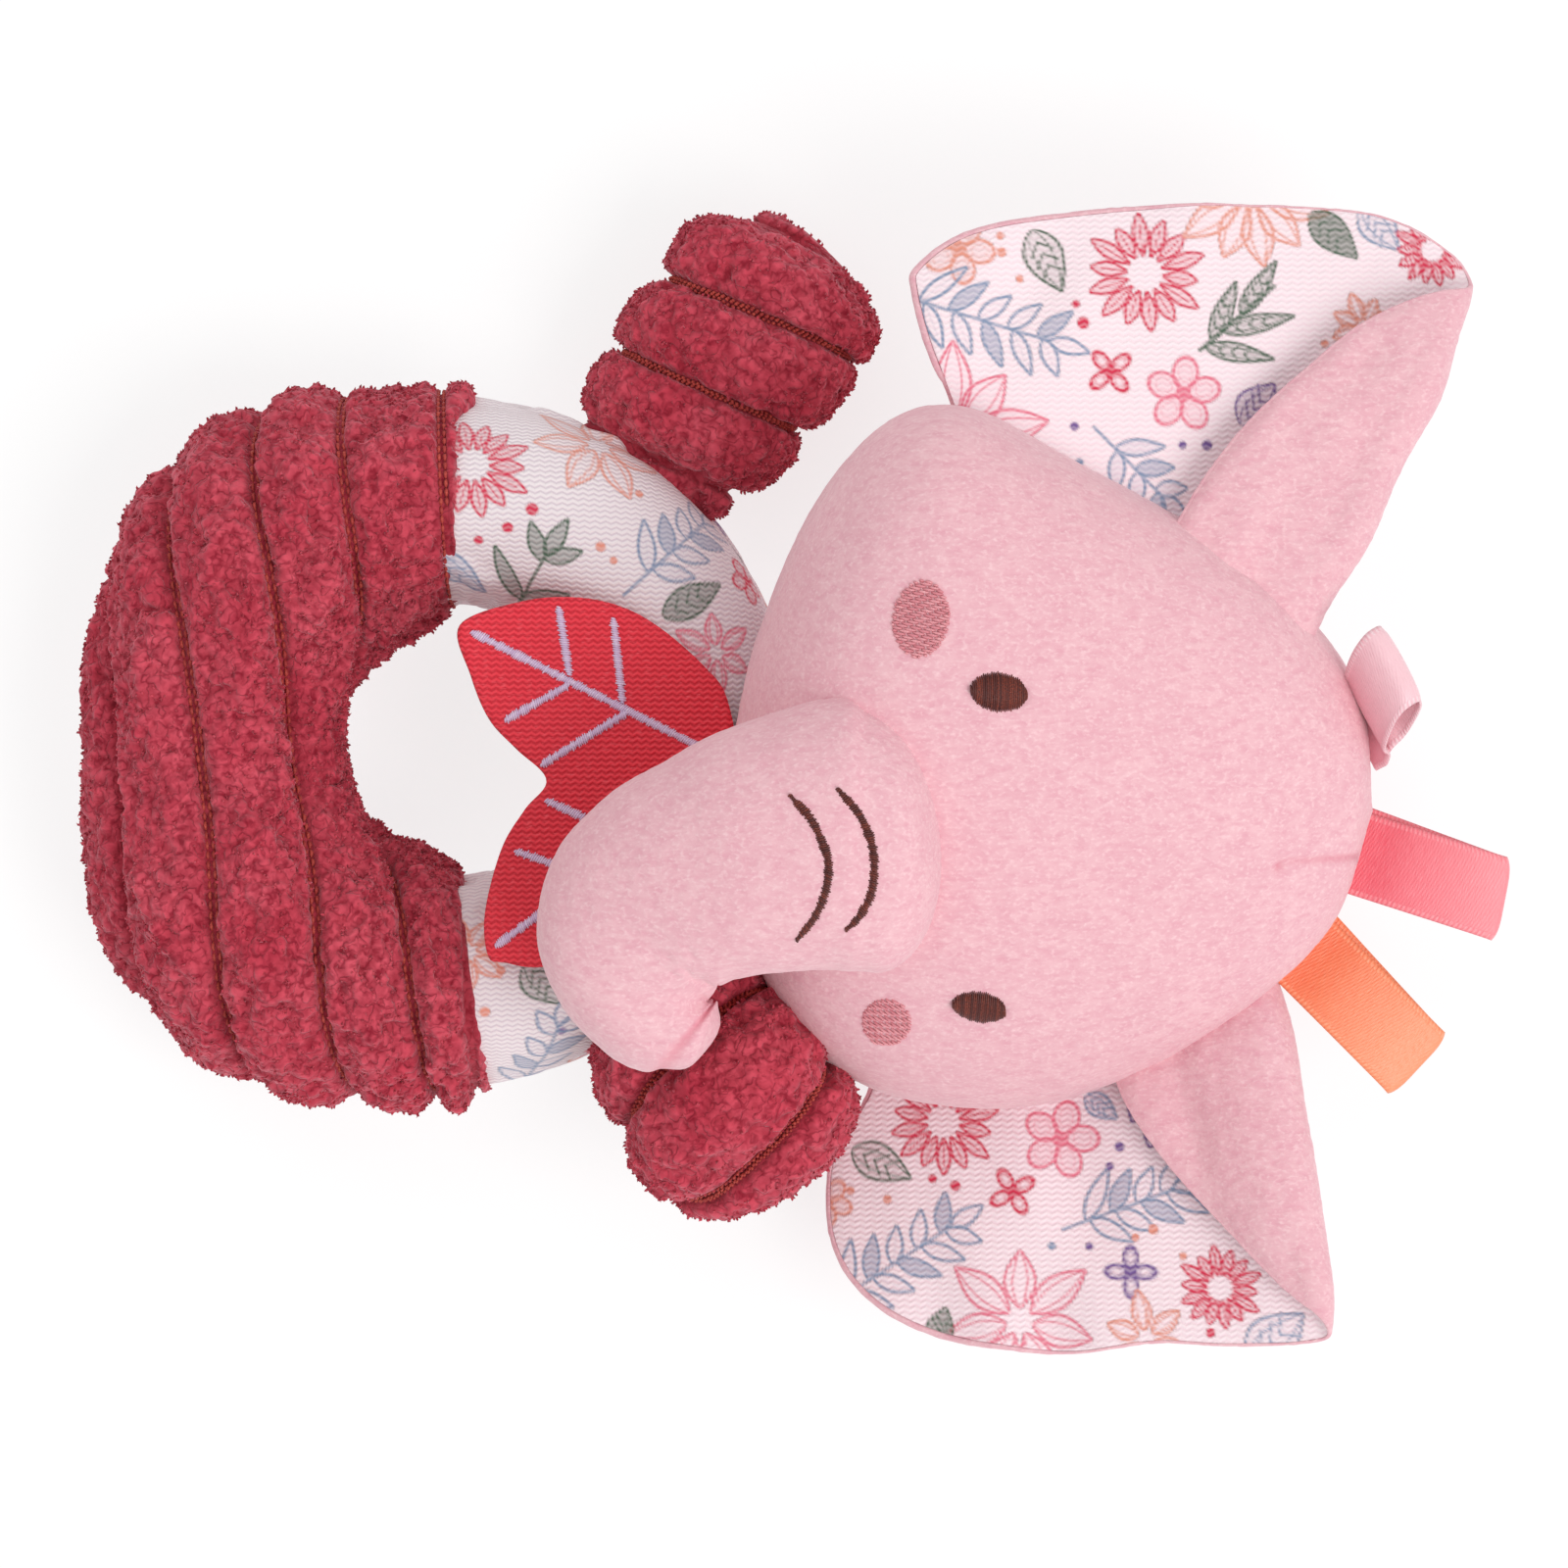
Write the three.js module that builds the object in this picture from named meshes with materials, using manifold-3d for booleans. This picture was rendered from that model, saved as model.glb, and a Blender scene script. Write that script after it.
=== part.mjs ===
// Plush elephant ring rattle, lying on its back: a stuffed grab ring with a stuffed head sewn to it.
// Millimetres. +Z points up, out of the face. +Y runs from the ring to the top of the head.
// +X is the toy's own left side. Pieces are laid out round the ring's centre, and the finished
// group is moved so that its origin is at the bottom centre of the whole toy.
import * as THREE from "three";
import { mergeVertices } from "three/addons/utils/BufferGeometryUtils.js";
import Module from "manifold-3d";

const wasm = await Module();
wasm.setup();

// ---------------------------------------------------------------- driving dimensions
const GAP = 0.35; // room between two pieces that touch on the real toy
const HALF_GAP = GAP / 2;
const FILL_GAP = 1; // room between a cover and its stuffing

const RING = {
  centreRadius: 30, // centre of the hole to the centre of the tube
  height: 13, // height of the tube's centre
  backRadius: 13, // outside of the printed back panel
  printRadius: 12.3, // outside of the printed front panel
  plushRadius: 14.8, // outside of the ribbed plush panel, pile included
  print: 0.9, // thickness of the printed jersey
  pile: 2.5, // thickness of the ribbed plush
  seamY: 2, // where the plush front meets the printed front
  headRoom: 0.8, // room between the ring and the hollow that the chin presses over it
};

const HEAD = {
  centre: new THREE.Vector3(4.5, 73, 28.4),
  yaw: 20, // the face turns to the toy's left
  roll: -6, // the crown leans to the toy's left
  depthShare: 0.62, // half depth over half width
  velour: 1.1,
  // height above the centre and half width there, from the chin to the crown
  outline: [
    [-38.5, 0],
    [-37, 12],
    [-33, 26],
    [-27.5, 35],
    [-21, 39.6],
    [-13, 41.2],
    [-3, 39.8],
    [9, 35.6],
    [20, 30.2],
    [29, 23],
    [35.5, 13.5],
    [38, 0],
  ],
};

const TRUNK = {
  velour: 1.1,
  knuckle: 15.8, // radius of the rounded root, sunk in the face
  seatGap: 0.55, // room round the root in its seat
  fillGap: 1.7, // room between the cover and its stuffing
  // centre line from the root in the face to the curled tip, then half width and half height
  path: [
    [13.2, 45, 49.6, 14.8, 14],
    [14.6, 36.8, 49.2, 14, 12.6],
    [18, 29.4, 47.4, 13.1, 11.2],
    [23, 24.4, 45.4, 11.6, 10],
    [29.4, 23.4, 43.6, 10, 8.8],
    [34.6, 27, 42.2, 8.4, 7.8],
    [36.2, 31.6, 42, 5.4, 5.4],
  ],
};

const EAR = {
  print: 0.85,
  velour: 1.25,
  foldRadius: 2.4,
  crease: 46.2, // distance along the root where the crown side folds forward
  headClear: 3, // room between the sewn edge and the side of the head
  rootLow: -15, // heights on the head between which the ear is sewn in
  rootHigh: 29,
  rootBehind: 12, // degrees behind the head's widest line
  rootClear: 1.6,
  root: 70, // length of the root before it is folded
  // rim of the unfolded ear: along the root, then out from it
  rim: [
    [-12.4, 10.4],
    [-14, 15.5],
    [-10.5, 22.5],
    [0, 31],
    [15, 39],
    [31, 44.6],
    [42, 45.5],
    [49.5, 42],
    [58, 26],
    [69, 4],
  ],
};

const ARM = {
  pile: 2.2,
  ringClear: 1.2,
  // share of the length, half width, half thickness
  shape: [
    [0, 9.8, 2.4],
    [0.14, 11.6, 6],
    [0.4, 12.9, 7.8],
    [0.72, 12.8, 7.4],
    [0.9, 10.6, 5.4],
    [1, 5.4, 2.2],
  ],
  // degrees round the ring, degrees in plan, and the centre line as [distance out, height]
  right: { along: 35.6, turn: 37, line: [[0, 0], [10.5, 1.2], [21.5, 1.8], [32, 0.6]] },
  left: { along: 40.6, turn: 33, line: [[0, 0], [3.6, 8.4], [12.5, 13.2], [20.6, 10.4], [23.6, 5.2]] },
};

const LEAF = {
  thickness: 1.5,
  length: 36,
  clear: 0.9, // above the ring
  rootY: 34,
  // share of the length from the root, half width
  shape: [[0, 3.5], [0.08, 7], [0.22, 9.8], [0.4, 11.1], [0.58, 10.8], [0.77, 8.2], [0.92, 4.2], [1, 0.7]],
  right: { rootX: 2, turn: 26 }, // degrees from straight down the toy
  left: { rootX: 4.9, turn: -36 },
  veinWidth: 1.1,
  veinHeight: 0.5,
  midrib: [0.13, 0.96],
  // side veins: share where they leave the midrib, share where they end, share of the half width there
  sideVeins: [[0.6, 0.735, 0.82], [0.38, 0.555, 0.88]],
};

const RIBBON = {
  width: 10.2,
  tape: 0.45,
  loopHeight: 2.6,
  clear: 1.9,
  // across the head at the crown seam, outward lean in plan, tilt up, loop length
  pale: { across: -14, lean: -28, tilt: 60, length: 15 },
  coral: { across: 4.5, lean: 20, tilt: 4, length: 18 },
  orange: { across: 16.5, lean: 47, tilt: -6, length: 17.5 },
};

const RATTLE = { radius: 11, wall: 1.2, beadRadius: 2.1, beadRing: 3.2, above: 7, behind: -2 };

const THREAD = 0.55; // how far embroidery stands up
const FACE = {
  midline: 1,
  eye: { across: 20.3, up: -6.6, halfWidth: 2.5, halfLength: 3.5 },
  cheek: { across: 26, up: -17.2, halfWidth: 4.2, halfLength: 3.4 },
};
const TRUNK_LINES = [
  { name: "trunk_line_lower", x: 15.6, y: 42.4, halfSpan: 8.4, bow: 4.4 },
  { name: "trunk_line_upper", x: 14.4, y: 48.2, halfSpan: 8, bow: 4 },
];
const LINE_WIDTH = 1.2;

// ---------------------------------------------------------------- materials
function fabric(color, roughness = 0.9) {
  return new THREE.MeshStandardMaterial({ color, roughness, metalness: 0 });
}
const MATERIAL = {
  velour: fabric(0xf2bcc4),
  plush: fabric(0x9c2f40),
  print: fabric(0xf1dcdd),
  twill: fabric(0xd8303f, 0.7),
  lilacThread: fabric(0xd5bfe0, 0.5),
  brownThread: fabric(0x5a2a24, 0.5),
  cheekThread: fabric(0xdc8e96, 0.5),
  palePinkSatin: fabric(0xf0b4bc, 0.4),
  coralSatin: fabric(0xfb7f8a, 0.4),
  orangeSatin: fabric(0xfb8f58, 0.4),
  filling: fabric(0xf7f5f0, 1),
  capsule: fabric(0xf4f2ea, 0.35),
  bead: fabric(0xd9a441, 0.35),
};

// ---------------------------------------------------------------- geometry helpers
const radians = THREE.MathUtils.degToRad;
const vec = (x, y, z) => new THREE.Vector3(x, y, z);

function bare(geometry) {
  const g = geometry.clone();
  g.deleteAttribute("normal");
  g.deleteAttribute("uv");
  return mergeVertices(g, 1e-4);
}

// A closed geometry as a manifold-3d solid with its faces pointing out.
function solid(geometry) {
  const g = bare(geometry);
  const make = (index) =>
    new wasm.Manifold(
      new wasm.Mesh({
        numProp: 3,
        vertProperties: g.attributes.position.array,
        triVerts: new Uint32Array(index),
      }),
    );
  const made = make(g.index.array);
  return made.volume() < 0 ? make(Array.from(g.index.array).reverse()) : made;
}

// The largest body of a solid, as a geometry.
function geometryOf(manifold) {
  const bodies = manifold.decompose();
  const main = bodies.reduce((a, b) => (b.volume() > a.volume() ? b : a));
  const mesh = main.getMesh();
  return new THREE.BufferGeometry()
    .setAttribute("position", new THREE.BufferAttribute(mesh.vertProperties, 3))
    .setIndex(new THREE.BufferAttribute(mesh.triVerts, 1));
}

// Moves every vertex of a geometry by a function of its position.
function warp(geometry, move) {
  const at = geometry.attributes.position;
  for (let i = 0; i < at.count; i++) {
    const p = move(vec(at.getX(i), at.getY(i), at.getZ(i)));
    at.setXYZ(i, p.x, p.y, p.z);
  }
  return geometry;
}

// A value read from rows of [key, ...values] at a key, with straight lines between the rows.
function rowAt(rows, key, column) {
  let i = 1;
  while (i < rows.length - 1 && rows[i][0] < key) i++;
  const [a, b] = [rows[i - 1], rows[i]];
  const share = THREE.MathUtils.clamp((key - a[0]) / (b[0] - a[0]), 0, 1);
  return a[column] + (b[column] - a[column]) * share;
}

// A stuffed tube along a curve. size(t) gives its half width and half height there.
function sweep(curve, size, sides, steps) {
  const up = vec(0, 0, 1);
  return warp(new THREE.CylinderGeometry(1, 1, 1, sides, steps), (p) => {
    const t = THREE.MathUtils.clamp(p.y + 0.5, 0, 1);
    const side = curve.getTangentAt(t).cross(up).normalize();
    const over = side.clone().cross(curve.getTangentAt(t));
    const [width, height] = size(t);
    return curve.getPointAt(t).addScaledVector(side, p.x * width).addScaledVector(over, p.z * height);
  });
}

// A curved sheet: place(u, v, n) gives the point at u, v from 0 to 1, n above the sheet's middle.
function sheet(place, low, high, countU, countV) {
  return warp(new THREE.BoxGeometry(1, 1, 1, countU, countV, 1), (p) =>
    place(p.x + 0.5, p.y + 0.5, low + (high - low) * (p.z + 0.5)),
  );
}

function box(low, high) {
  const size = high.clone().sub(low);
  const middle = low.clone().add(high).multiplyScalar(0.5);
  return new THREE.BoxGeometry(size.x, size.y, size.z).translate(middle.x, middle.y, middle.z);
}

function ball(centre, radius, detail = 20) {
  return new THREE.SphereGeometry(radius, detail, detail / 2).translate(centre.x, centre.y, centre.z);
}

const FAR = 200;
const root = new THREE.Group();

function add(name, geometry, material, parent = root) {
  const mesh = new THREE.Mesh(geometry.index ? geometry : bare(geometry), material);
  mesh.name = name;
  parent.add(mesh);
  return mesh;
}

// ---------------------------------------------------------------- ring
// Part of a torus wall: the tube's section between two angles, and between two radii.
function ringWall(inner, outer, from, to) {
  const points = [];
  const steps = 7;
  const place = (radius, angle) =>
    new THREE.Vector2(RING.centreRadius + radius * Math.cos(angle), RING.height + radius * Math.sin(angle));
  for (let i = 0; i <= steps; i++) points.push(place(outer, from + ((to - from) * i) / steps));
  for (let i = steps; i >= 0; i--) points.push(place(inner, from + ((to - from) * i) / steps));
  points.push(points[0].clone());
  return solid(new THREE.LatheGeometry(points, 30).rotateX(Math.PI / 2));
}

function ringTube(radius, around = 30) {
  const torus = new THREE.TorusGeometry(RING.centreRadius, radius, 12, around);
  return solid(torus.translate(0, 0, RING.height));
}

const ringSeam = HALF_GAP / RING.printRadius;
const frontWall = (inner, outer) => ringWall(inner, outer, ringSeam, Math.PI - ringSeam);
const belowSeam = solid(box(vec(-FAR, -FAR, -FAR), vec(FAR, RING.seamY - HALF_GAP, FAR)));
const aboveSeam = solid(box(vec(-FAR, RING.seamY + HALF_GAP, -FAR), vec(FAR, FAR, FAR)));

function buildRing() {
  const plush = frontWall(RING.plushRadius - RING.pile, RING.plushRadius).intersect(belowSeam);
  const print = frontWall(RING.printRadius - RING.print, RING.printRadius).intersect(aboveSeam);
  const back = ringWall(RING.backRadius - RING.print, RING.backRadius, Math.PI + ringSeam, 2 * Math.PI - ringSeam);
  add("ring_front_plush", geometryOf(plush), MATERIAL.plush);
  add("ring_front_print", geometryOf(print), MATERIAL.print);
  add("ring_back_print", geometryOf(back), MATERIAL.print);
  add("ring_stuffing", geometryOf(ringTube(RING.printRadius - RING.print - FILL_GAP)), MATERIAL.filling);
}

// ---------------------------------------------------------------- head
const headFrame = new THREE.Group();
headFrame.position.copy(HEAD.centre);
headFrame.rotation.set(0, radians(HEAD.yaw), radians(HEAD.roll), "ZYX");
headFrame.updateMatrixWorld(true);
root.add(headFrame);
const toHead = headFrame.matrixWorld.clone().invert();

// The head's closed shape in its own frame, grown by an offset.
function headShape(grow, sides = 22) {
  const outline = new THREE.SplineCurve(HEAD.outline.map(([y, r]) => new THREE.Vector2(r, y)));
  const points = outline.getPoints(15).map((p, i, all) => {
    if (i === 0) return new THREE.Vector2(0, p.y - grow);
    if (i === all.length - 1) return new THREE.Vector2(0, p.y + grow);
    return new THREE.Vector2(Math.max(p.x, 1) + grow, p.y * (1 + grow / 40));
  });
  const lathe = new THREE.LatheGeometry(points, sides, 0);
  return solid(warp(lathe, (p) => vec(p.x, p.y, p.z * HEAD.depthShare)));
}

function inHead(manifold) {
  return solid(geometryOf(manifold).applyMatrix4(toHead));
}

// The space that the head takes up, in the toy's frame.
function headRoom(grow) {
  return solid(geometryOf(headShape(grow)).applyMatrix4(headFrame.matrixWorld));
}

const frontHalf = solid(box(vec(-FAR, -FAR, HALF_GAP), vec(FAR, FAR, FAR)));
const backHalf = solid(box(vec(-FAR, -FAR, -FAR), vec(FAR, FAR, -HALF_GAP)));

function buildHead(trunkRoom) {
  const ringRoom = inHead(ringTube(RING.backRadius + RING.headRoom));
  const rattleAt = vec(0, RATTLE.above, RATTLE.behind);
  const rattleRoom = solid(ball(rattleAt, RATTLE.radius + GAP));
  const outer = headShape(0);
  const inner = headShape(-HEAD.velour);
  const wall = outer.subtract(inner).subtract(ringRoom).subtract(trunkRoom);
  const filling = headShape(-HEAD.velour - FILL_GAP).subtract(ringRoom).subtract(trunkRoom).subtract(rattleRoom);
  add("head_front_panel", geometryOf(wall.intersect(frontHalf)), MATERIAL.velour, headFrame);
  add("head_back_panel", geometryOf(wall.intersect(backHalf)), MATERIAL.velour, headFrame);
  add("head_stuffing_front", geometryOf(filling.intersect(frontHalf)), MATERIAL.filling, headFrame);
  add("head_stuffing_back", geometryOf(filling.intersect(backHalf)), MATERIAL.filling, headFrame);
  buildRattle(rattleAt);
  buildFace();
}

// A hollow ball in two halves, with loose beads lying in its lower half.
function buildRattle(at) {
  const rattle = new THREE.Group();
  rattle.position.copy(at.clone().applyMatrix4(headFrame.matrixWorld));
  root.add(rattle);
  const origin = vec(0, 0, 0);
  const hollow = solid(ball(origin, RATTLE.radius, 16)).subtract(solid(ball(origin, RATTLE.radius - RATTLE.wall, 16)));
  add("rattle_shell_front", geometryOf(hollow.intersect(frontHalf)), MATERIAL.capsule, rattle);
  add("rattle_shell_back", geometryOf(hollow.intersect(backHalf)), MATERIAL.capsule, rattle);
  const bowl = RATTLE.radius - RATTLE.wall - RATTLE.beadRadius - 0.5;
  const depth = Math.sqrt(bowl ** 2 - RATTLE.beadRing ** 2);
  for (let i = 0; i < 3; i++) {
    const angle = (i * 2 * Math.PI) / 3;
    const bead = add(`rattle_bead_${i + 1}`, new THREE.SphereGeometry(RATTLE.beadRadius, 8, 6), MATERIAL.bead, rattle);
    bead.position.set(RATTLE.beadRing * Math.cos(angle), RATTLE.beadRing * Math.sin(angle), -depth);
  }
}

// Embroidery: the part of an upright prism that lies just above a surface.
function stitched(prism, surfaceAt) {
  return geometryOf(prism.intersect(surfaceAt(HALF_GAP + THREAD)).subtract(surfaceAt(HALF_GAP)));
}

function buildFace() {
  const patch = (place, sign) => {
    const oval = new THREE.CylinderGeometry(1, 1, 40, 16).rotateX(Math.PI / 2);
    oval.scale(place.halfWidth, place.halfLength, 1);
    oval.translate(FACE.midline + sign * place.across, place.up, 22);
    return stitched(solid(oval), headShape);
  };
  for (const [side, sign] of [["right", -1], ["left", 1]]) {
    add(`eye_${side}`, patch(FACE.eye, sign), MATERIAL.brownThread, headFrame);
    add(`cheek_${side}`, patch(FACE.cheek, sign), MATERIAL.cheekThread, headFrame);
  }
}

// ---------------------------------------------------------------- trunk
const trunkCurve = new THREE.CatmullRomCurve3(TRUNK.path.map(([x, y, z]) => vec(x, y, z)));
const TRUNK_ROOT = vec(...TRUNK.path[0]);

function trunkShape(grow, sides = 12, steps = 12) {
  const last = TRUNK.path.length - 1;
  const size = (t) => {
    const rows = TRUNK.path.map((row, i) => [i / last, row[3], row[4]]);
    const key = trunkCurve.getUtoTmapping(t);
    const nose = Math.sqrt(Math.max(1 - ((key - 0.82) / 0.18) ** 2, 0.05));
    const rounding = key > 0.82 ? nose : 1;
    return [1, 2].map((column) => Math.max(rowAt(rows, key, column) * rounding + grow, 0.4));
  };
  return solid(sweep(trunkCurve, size, sides, steps));
}

// The root of the trunk is a ball about its pivot, so that it can lift in its seat.
function trunkBody(grow, sides = 12) {
  return trunkShape(grow, sides, 12).add(solid(ball(TRUNK_ROOT, TRUNK.knuckle + grow, 16)));
}

function buildTrunk() {
  const trunk = new THREE.Group();
  root.add(trunk);
  const mouth = solid(ball(TRUNK_ROOT.clone().add(vec(0, 5, -TRUNK.knuckle)), 6, 12));
  const cover = trunkBody(0).subtract(trunkBody(-TRUNK.velour)).subtract(mouth);
  add("trunk_cover", geometryOf(cover), MATERIAL.velour, trunk);
  add("trunk_stuffing", geometryOf(trunkBody(-TRUNK.velour - TRUNK.fillGap)), MATERIAL.filling, trunk);
  for (const line of TRUNK_LINES) add(line.name, trunkLine(line), MATERIAL.brownThread, trunk);
}

// An arc of satin stitch across the top of the trunk, bowed towards the forehead.
function trunkLine({ x, y, halfSpan, bow }) {
  const radius = (halfSpan ** 2 + bow ** 2) / (2 * bow);
  const reach = Math.asin(halfSpan / radius);
  const shape = new THREE.Shape();
  const centreY = y + bow - radius;
  shape.absarc(x, centreY, radius + LINE_WIDTH / 2, Math.PI / 2 - reach, Math.PI / 2 + reach, false);
  shape.absarc(x, centreY, radius - LINE_WIDTH / 2, Math.PI / 2 + reach, Math.PI / 2 - reach, true);
  const prism = new THREE.ExtrudeGeometry(shape, { depth: 30, bevelEnabled: false, curveSegments: 6 });
  return stitched(solid(prism.translate(0, 0, TRUNK_ROOT.z + 4)), (grow) => trunkBody(grow));
}

function trunkRoomInHead() {
  const seat = solid(ball(TRUNK_ROOT, TRUNK.knuckle + TRUNK.seatGap, 30));
  return inHead(trunkShape(TRUNK.seatGap).add(seat));
}

// ---------------------------------------------------------------- ears
// A point of the sewn edge on the side of the head, in the head's frame.
function earRoot(height, sign) {
  const behind = radians(EAR.rootBehind);
  const reach = rowAt(HEAD.outline, height, 1) + EAR.rootClear;
  return vec(sign * reach * Math.cos(behind), height, -HEAD.depthShare * reach * Math.sin(behind));
}

// side: the word in the node names. sign: -1 on the toy's right. rise: degrees above level.
function buildEar(side, sign, rise) {
  const low = earRoot(EAR.rootLow, sign);
  const along = earRoot(EAR.rootHigh, sign).sub(low).normalize();
  const level = vec(sign * Math.cos(radians(HEAD.yaw)), 0, Math.sin(radians(HEAD.yaw)));
  const tilt = radians(rise);
  const out = vec(level.x * Math.cos(tilt), 0, sign * level.z * Math.cos(tilt) + Math.sin(tilt));
  out.addScaledVector(along, -out.dot(along)).normalize();
  const front = out.clone().cross(along).multiplyScalar(sign).normalize();
  const rim = new THREE.SplineCurve(EAR.rim.map(([a, b]) => new THREE.Vector2(a, b)));

  const place = (u, v, n) => {
    const edge = rim.getPoint(v);
    const a = THREE.MathUtils.lerp(v * EAR.root, edge.x, u);
    const b = THREE.MathUtils.lerp(0, edge.y, u);
    const [across, lift] = folded(a - EAR.crease, n);
    return low.clone()
      .addScaledVector(along, EAR.crease + across)
      .addScaledVector(out, b)
      .addScaledVector(front, lift);
  };
  const print = sheet(place, HALF_GAP, HALF_GAP + EAR.print, 5, 16);
  const velour = sheet(place, -HALF_GAP - EAR.velour, -HALF_GAP, 5, 16);
  const trim = (cloth) => geometryOf(solid(cloth).subtract(headShape(EAR.headClear)));
  add(`ear_${side}_print`, trim(print), MATERIAL.print, headFrame);
  add(`ear_${side}_velour`, trim(velour), MATERIAL.velour, headFrame);
}

// Cloth that runs past the crease turns back over itself: [distance past the crease, height].
function folded(past, n) {
  if (past <= 0) return [past, n];
  const radius = EAR.foldRadius;
  const angle = Math.min(past / radius, Math.PI);
  const flat = Math.max(past - Math.PI * radius, 0);
  return [(radius - n) * Math.sin(angle) - flat, radius - (radius - n) * Math.cos(angle)];
}

// ---------------------------------------------------------------- arms
// Part of an arm between two shares of its length, grown by an offset.
function armShape(curve, grow, from, to) {
  const part = (t) => from + (to - from) * t;
  const size = (t) => [1, 2].map((column) => Math.max(rowAt(ARM.shape, part(t), column) + grow, 0.6));
  const section = new THREE.CatmullRomCurve3(curve.getSpacedPoints(20).slice(20 * from, 20 * to + 1));
  return solid(sweep(section, size, 10, 8));
}

function buildArm(side, sign, { along, turn, line }) {
  const radial = RING.centreRadius + RING.backRadius;
  const start = vec(sign * radial * Math.cos(radians(along)), radial * Math.sin(radians(along)), RING.height);
  const plan = vec(sign * Math.cos(radians(turn)), Math.sin(radians(turn)), 0);
  const points = line.map(([out, up]) => start.clone().addScaledVector(plan, out).add(vec(0, 0, up)));
  const curve = new THREE.CatmullRomCurve3(points);
  const room = ringTube(RING.backRadius + ARM.ringClear).add(headRoom(ARM.ringClear));
  const mouth = solid(ball(start.clone().lerp(points[1], 0.2), 2.6, 12));
  const hollow = armShape(curve, -ARM.pile, 0.1, 0.9);
  const cover = armShape(curve, 0, 0, 1).subtract(room).subtract(hollow).subtract(mouth);
  const stuffing = armShape(curve, -ARM.pile - FILL_GAP, 0.15, 0.85);
  add(`arm_${side}_cover`, geometryOf(cover), MATERIAL.plush);
  add(`arm_${side}_stuffing`, geometryOf(stuffing), MATERIAL.filling);
}

// ---------------------------------------------------------------- leaves
const LEAF_FLOOR = RING.height + RING.plushRadius + LEAF.clear;

// Turns a leaf drawn along +X from its root into its place under the chin.
function placeLeaf(geometry, { rootX, turn }) {
  return solid(geometry.rotateZ(radians(-90 - turn)).translate(rootX, LEAF.rootY, LEAF_FLOOR));
}

// The two leaves are one piece of cloth, joined at the root.
function buildLeaves() {
  const blade = () =>
    sheet(
      (u, v, n) => vec(u * LEAF.length, (v * 2 - 1) * rowAt(LEAF.shape, u, 1), n),
      0,
      LEAF.thickness,
      12,
      1,
    );
  const pair = placeLeaf(blade(), LEAF.right).add(placeLeaf(blade(), LEAF.left));
  add("leaf_pair", geometryOf(pair.subtract(headRoom(LEAF.clear))), MATERIAL.twill);
  add("leaf_right_veins", geometryOf(placeLeaf(leafVeins(), LEAF.right)), MATERIAL.lilacThread);
  add("leaf_left_veins", geometryOf(placeLeaf(leafVeins(), LEAF.left)), MATERIAL.lilacThread);
}

// A midrib with two pairs of side veins, embroidered on the upper face.
function leafVeins() {
  const bottom = LEAF.thickness + GAP;
  const bar = (x0, y0, x1, y1) => {
    const long = Math.hypot(x1 - x0, y1 - y0);
    const strip = new THREE.BoxGeometry(long, LEAF.veinWidth, LEAF.veinHeight);
    strip.rotateZ(Math.atan2(y1 - y0, x1 - x0));
    return solid(strip.translate((x0 + x1) / 2, (y0 + y1) / 2, bottom + LEAF.veinHeight / 2));
  };
  let veins = bar(LEAF.midrib[0] * LEAF.length, 0, LEAF.midrib[1] * LEAF.length, 0);
  for (const [start, end, reach] of LEAF.sideVeins) {
    for (const sign of [-1, 1]) {
      const tip = sign * reach * rowAt(LEAF.shape, end, 1);
      veins = veins.add(bar(start * LEAF.length, 0, end * LEAF.length, tip));
    }
  }
  return geometryOf(veins);
}

// ---------------------------------------------------------------- ribbon loops
// A folded length of satin tape, sewn by its two ends into the seam at the crown.
function buildRibbon(name, material, { across, lean, tilt, length }) {
  const crown = HEAD.outline.slice(6).map(([y, r]) => [-r, y]);
  const seam = vec(across, rowAt(crown, -Math.abs(across), 1), 0);
  const tab = new THREE.Group();
  tab.position.copy(seam.applyMatrix4(headFrame.matrixWorld));
  tab.rotation.set(radians(tilt), 0, radians(-lean), "ZYX");
  root.add(tab);
  const loop = new THREE.CatmullRomCurve3(
    [
      vec(0, RIBBON.clear, 0.35),
      vec(0, RIBBON.clear + 0.45 * length, 0.5 * RIBBON.loopHeight),
      vec(0, RIBBON.clear + 0.9 * length, 0.4 * RIBBON.loopHeight),
      vec(0, RIBBON.clear + length, 0),
      vec(0, RIBBON.clear + 0.9 * length, -0.4 * RIBBON.loopHeight),
      vec(0, RIBBON.clear + 0.45 * length, -0.5 * RIBBON.loopHeight),
      vec(0, RIBBON.clear, -0.35),
    ],
  );
  const tape = sheet(
    (u, v, n) => {
      const t = loop.getTangentAt(v);
      return loop.getPointAt(v).add(vec((u - 0.5) * RIBBON.width, -t.z * n, t.y * n));
    },
    -RIBBON.tape / 2,
    RIBBON.tape / 2,
    1,
    22,
  );
  add(name, geometryOf(solid(tape)), material, tab);
}

// ---------------------------------------------------------------- the whole toy
buildRing();
buildHead(trunkRoomInHead());
buildTrunk();
buildEar("right", -1, -8);
buildEar("left", 1, 16);
buildArm("right", -1, ARM.right);
buildArm("left", 1, ARM.left);
buildLeaves();
buildRibbon("ribbon_pale_pink", MATERIAL.palePinkSatin, RIBBON.pale);
buildRibbon("ribbon_coral", MATERIAL.coralSatin, RIBBON.coral);
buildRibbon("ribbon_orange", MATERIAL.orangeSatin, RIBBON.orange);

root.updateMatrixWorld(true);
const bounds = new THREE.Box3().setFromObject(root, true);
const middle = bounds.getCenter(vec(0, 0, 0));
root.position.set(-middle.x, -middle.y, -bounds.min.z);

export default root;
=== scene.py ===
import math

import bmesh
import bpy
import numpy as np
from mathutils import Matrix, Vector
from mathutils.bvhtree import BVHTree
from mathutils.geometry import delaunay_2d_cdt


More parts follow.
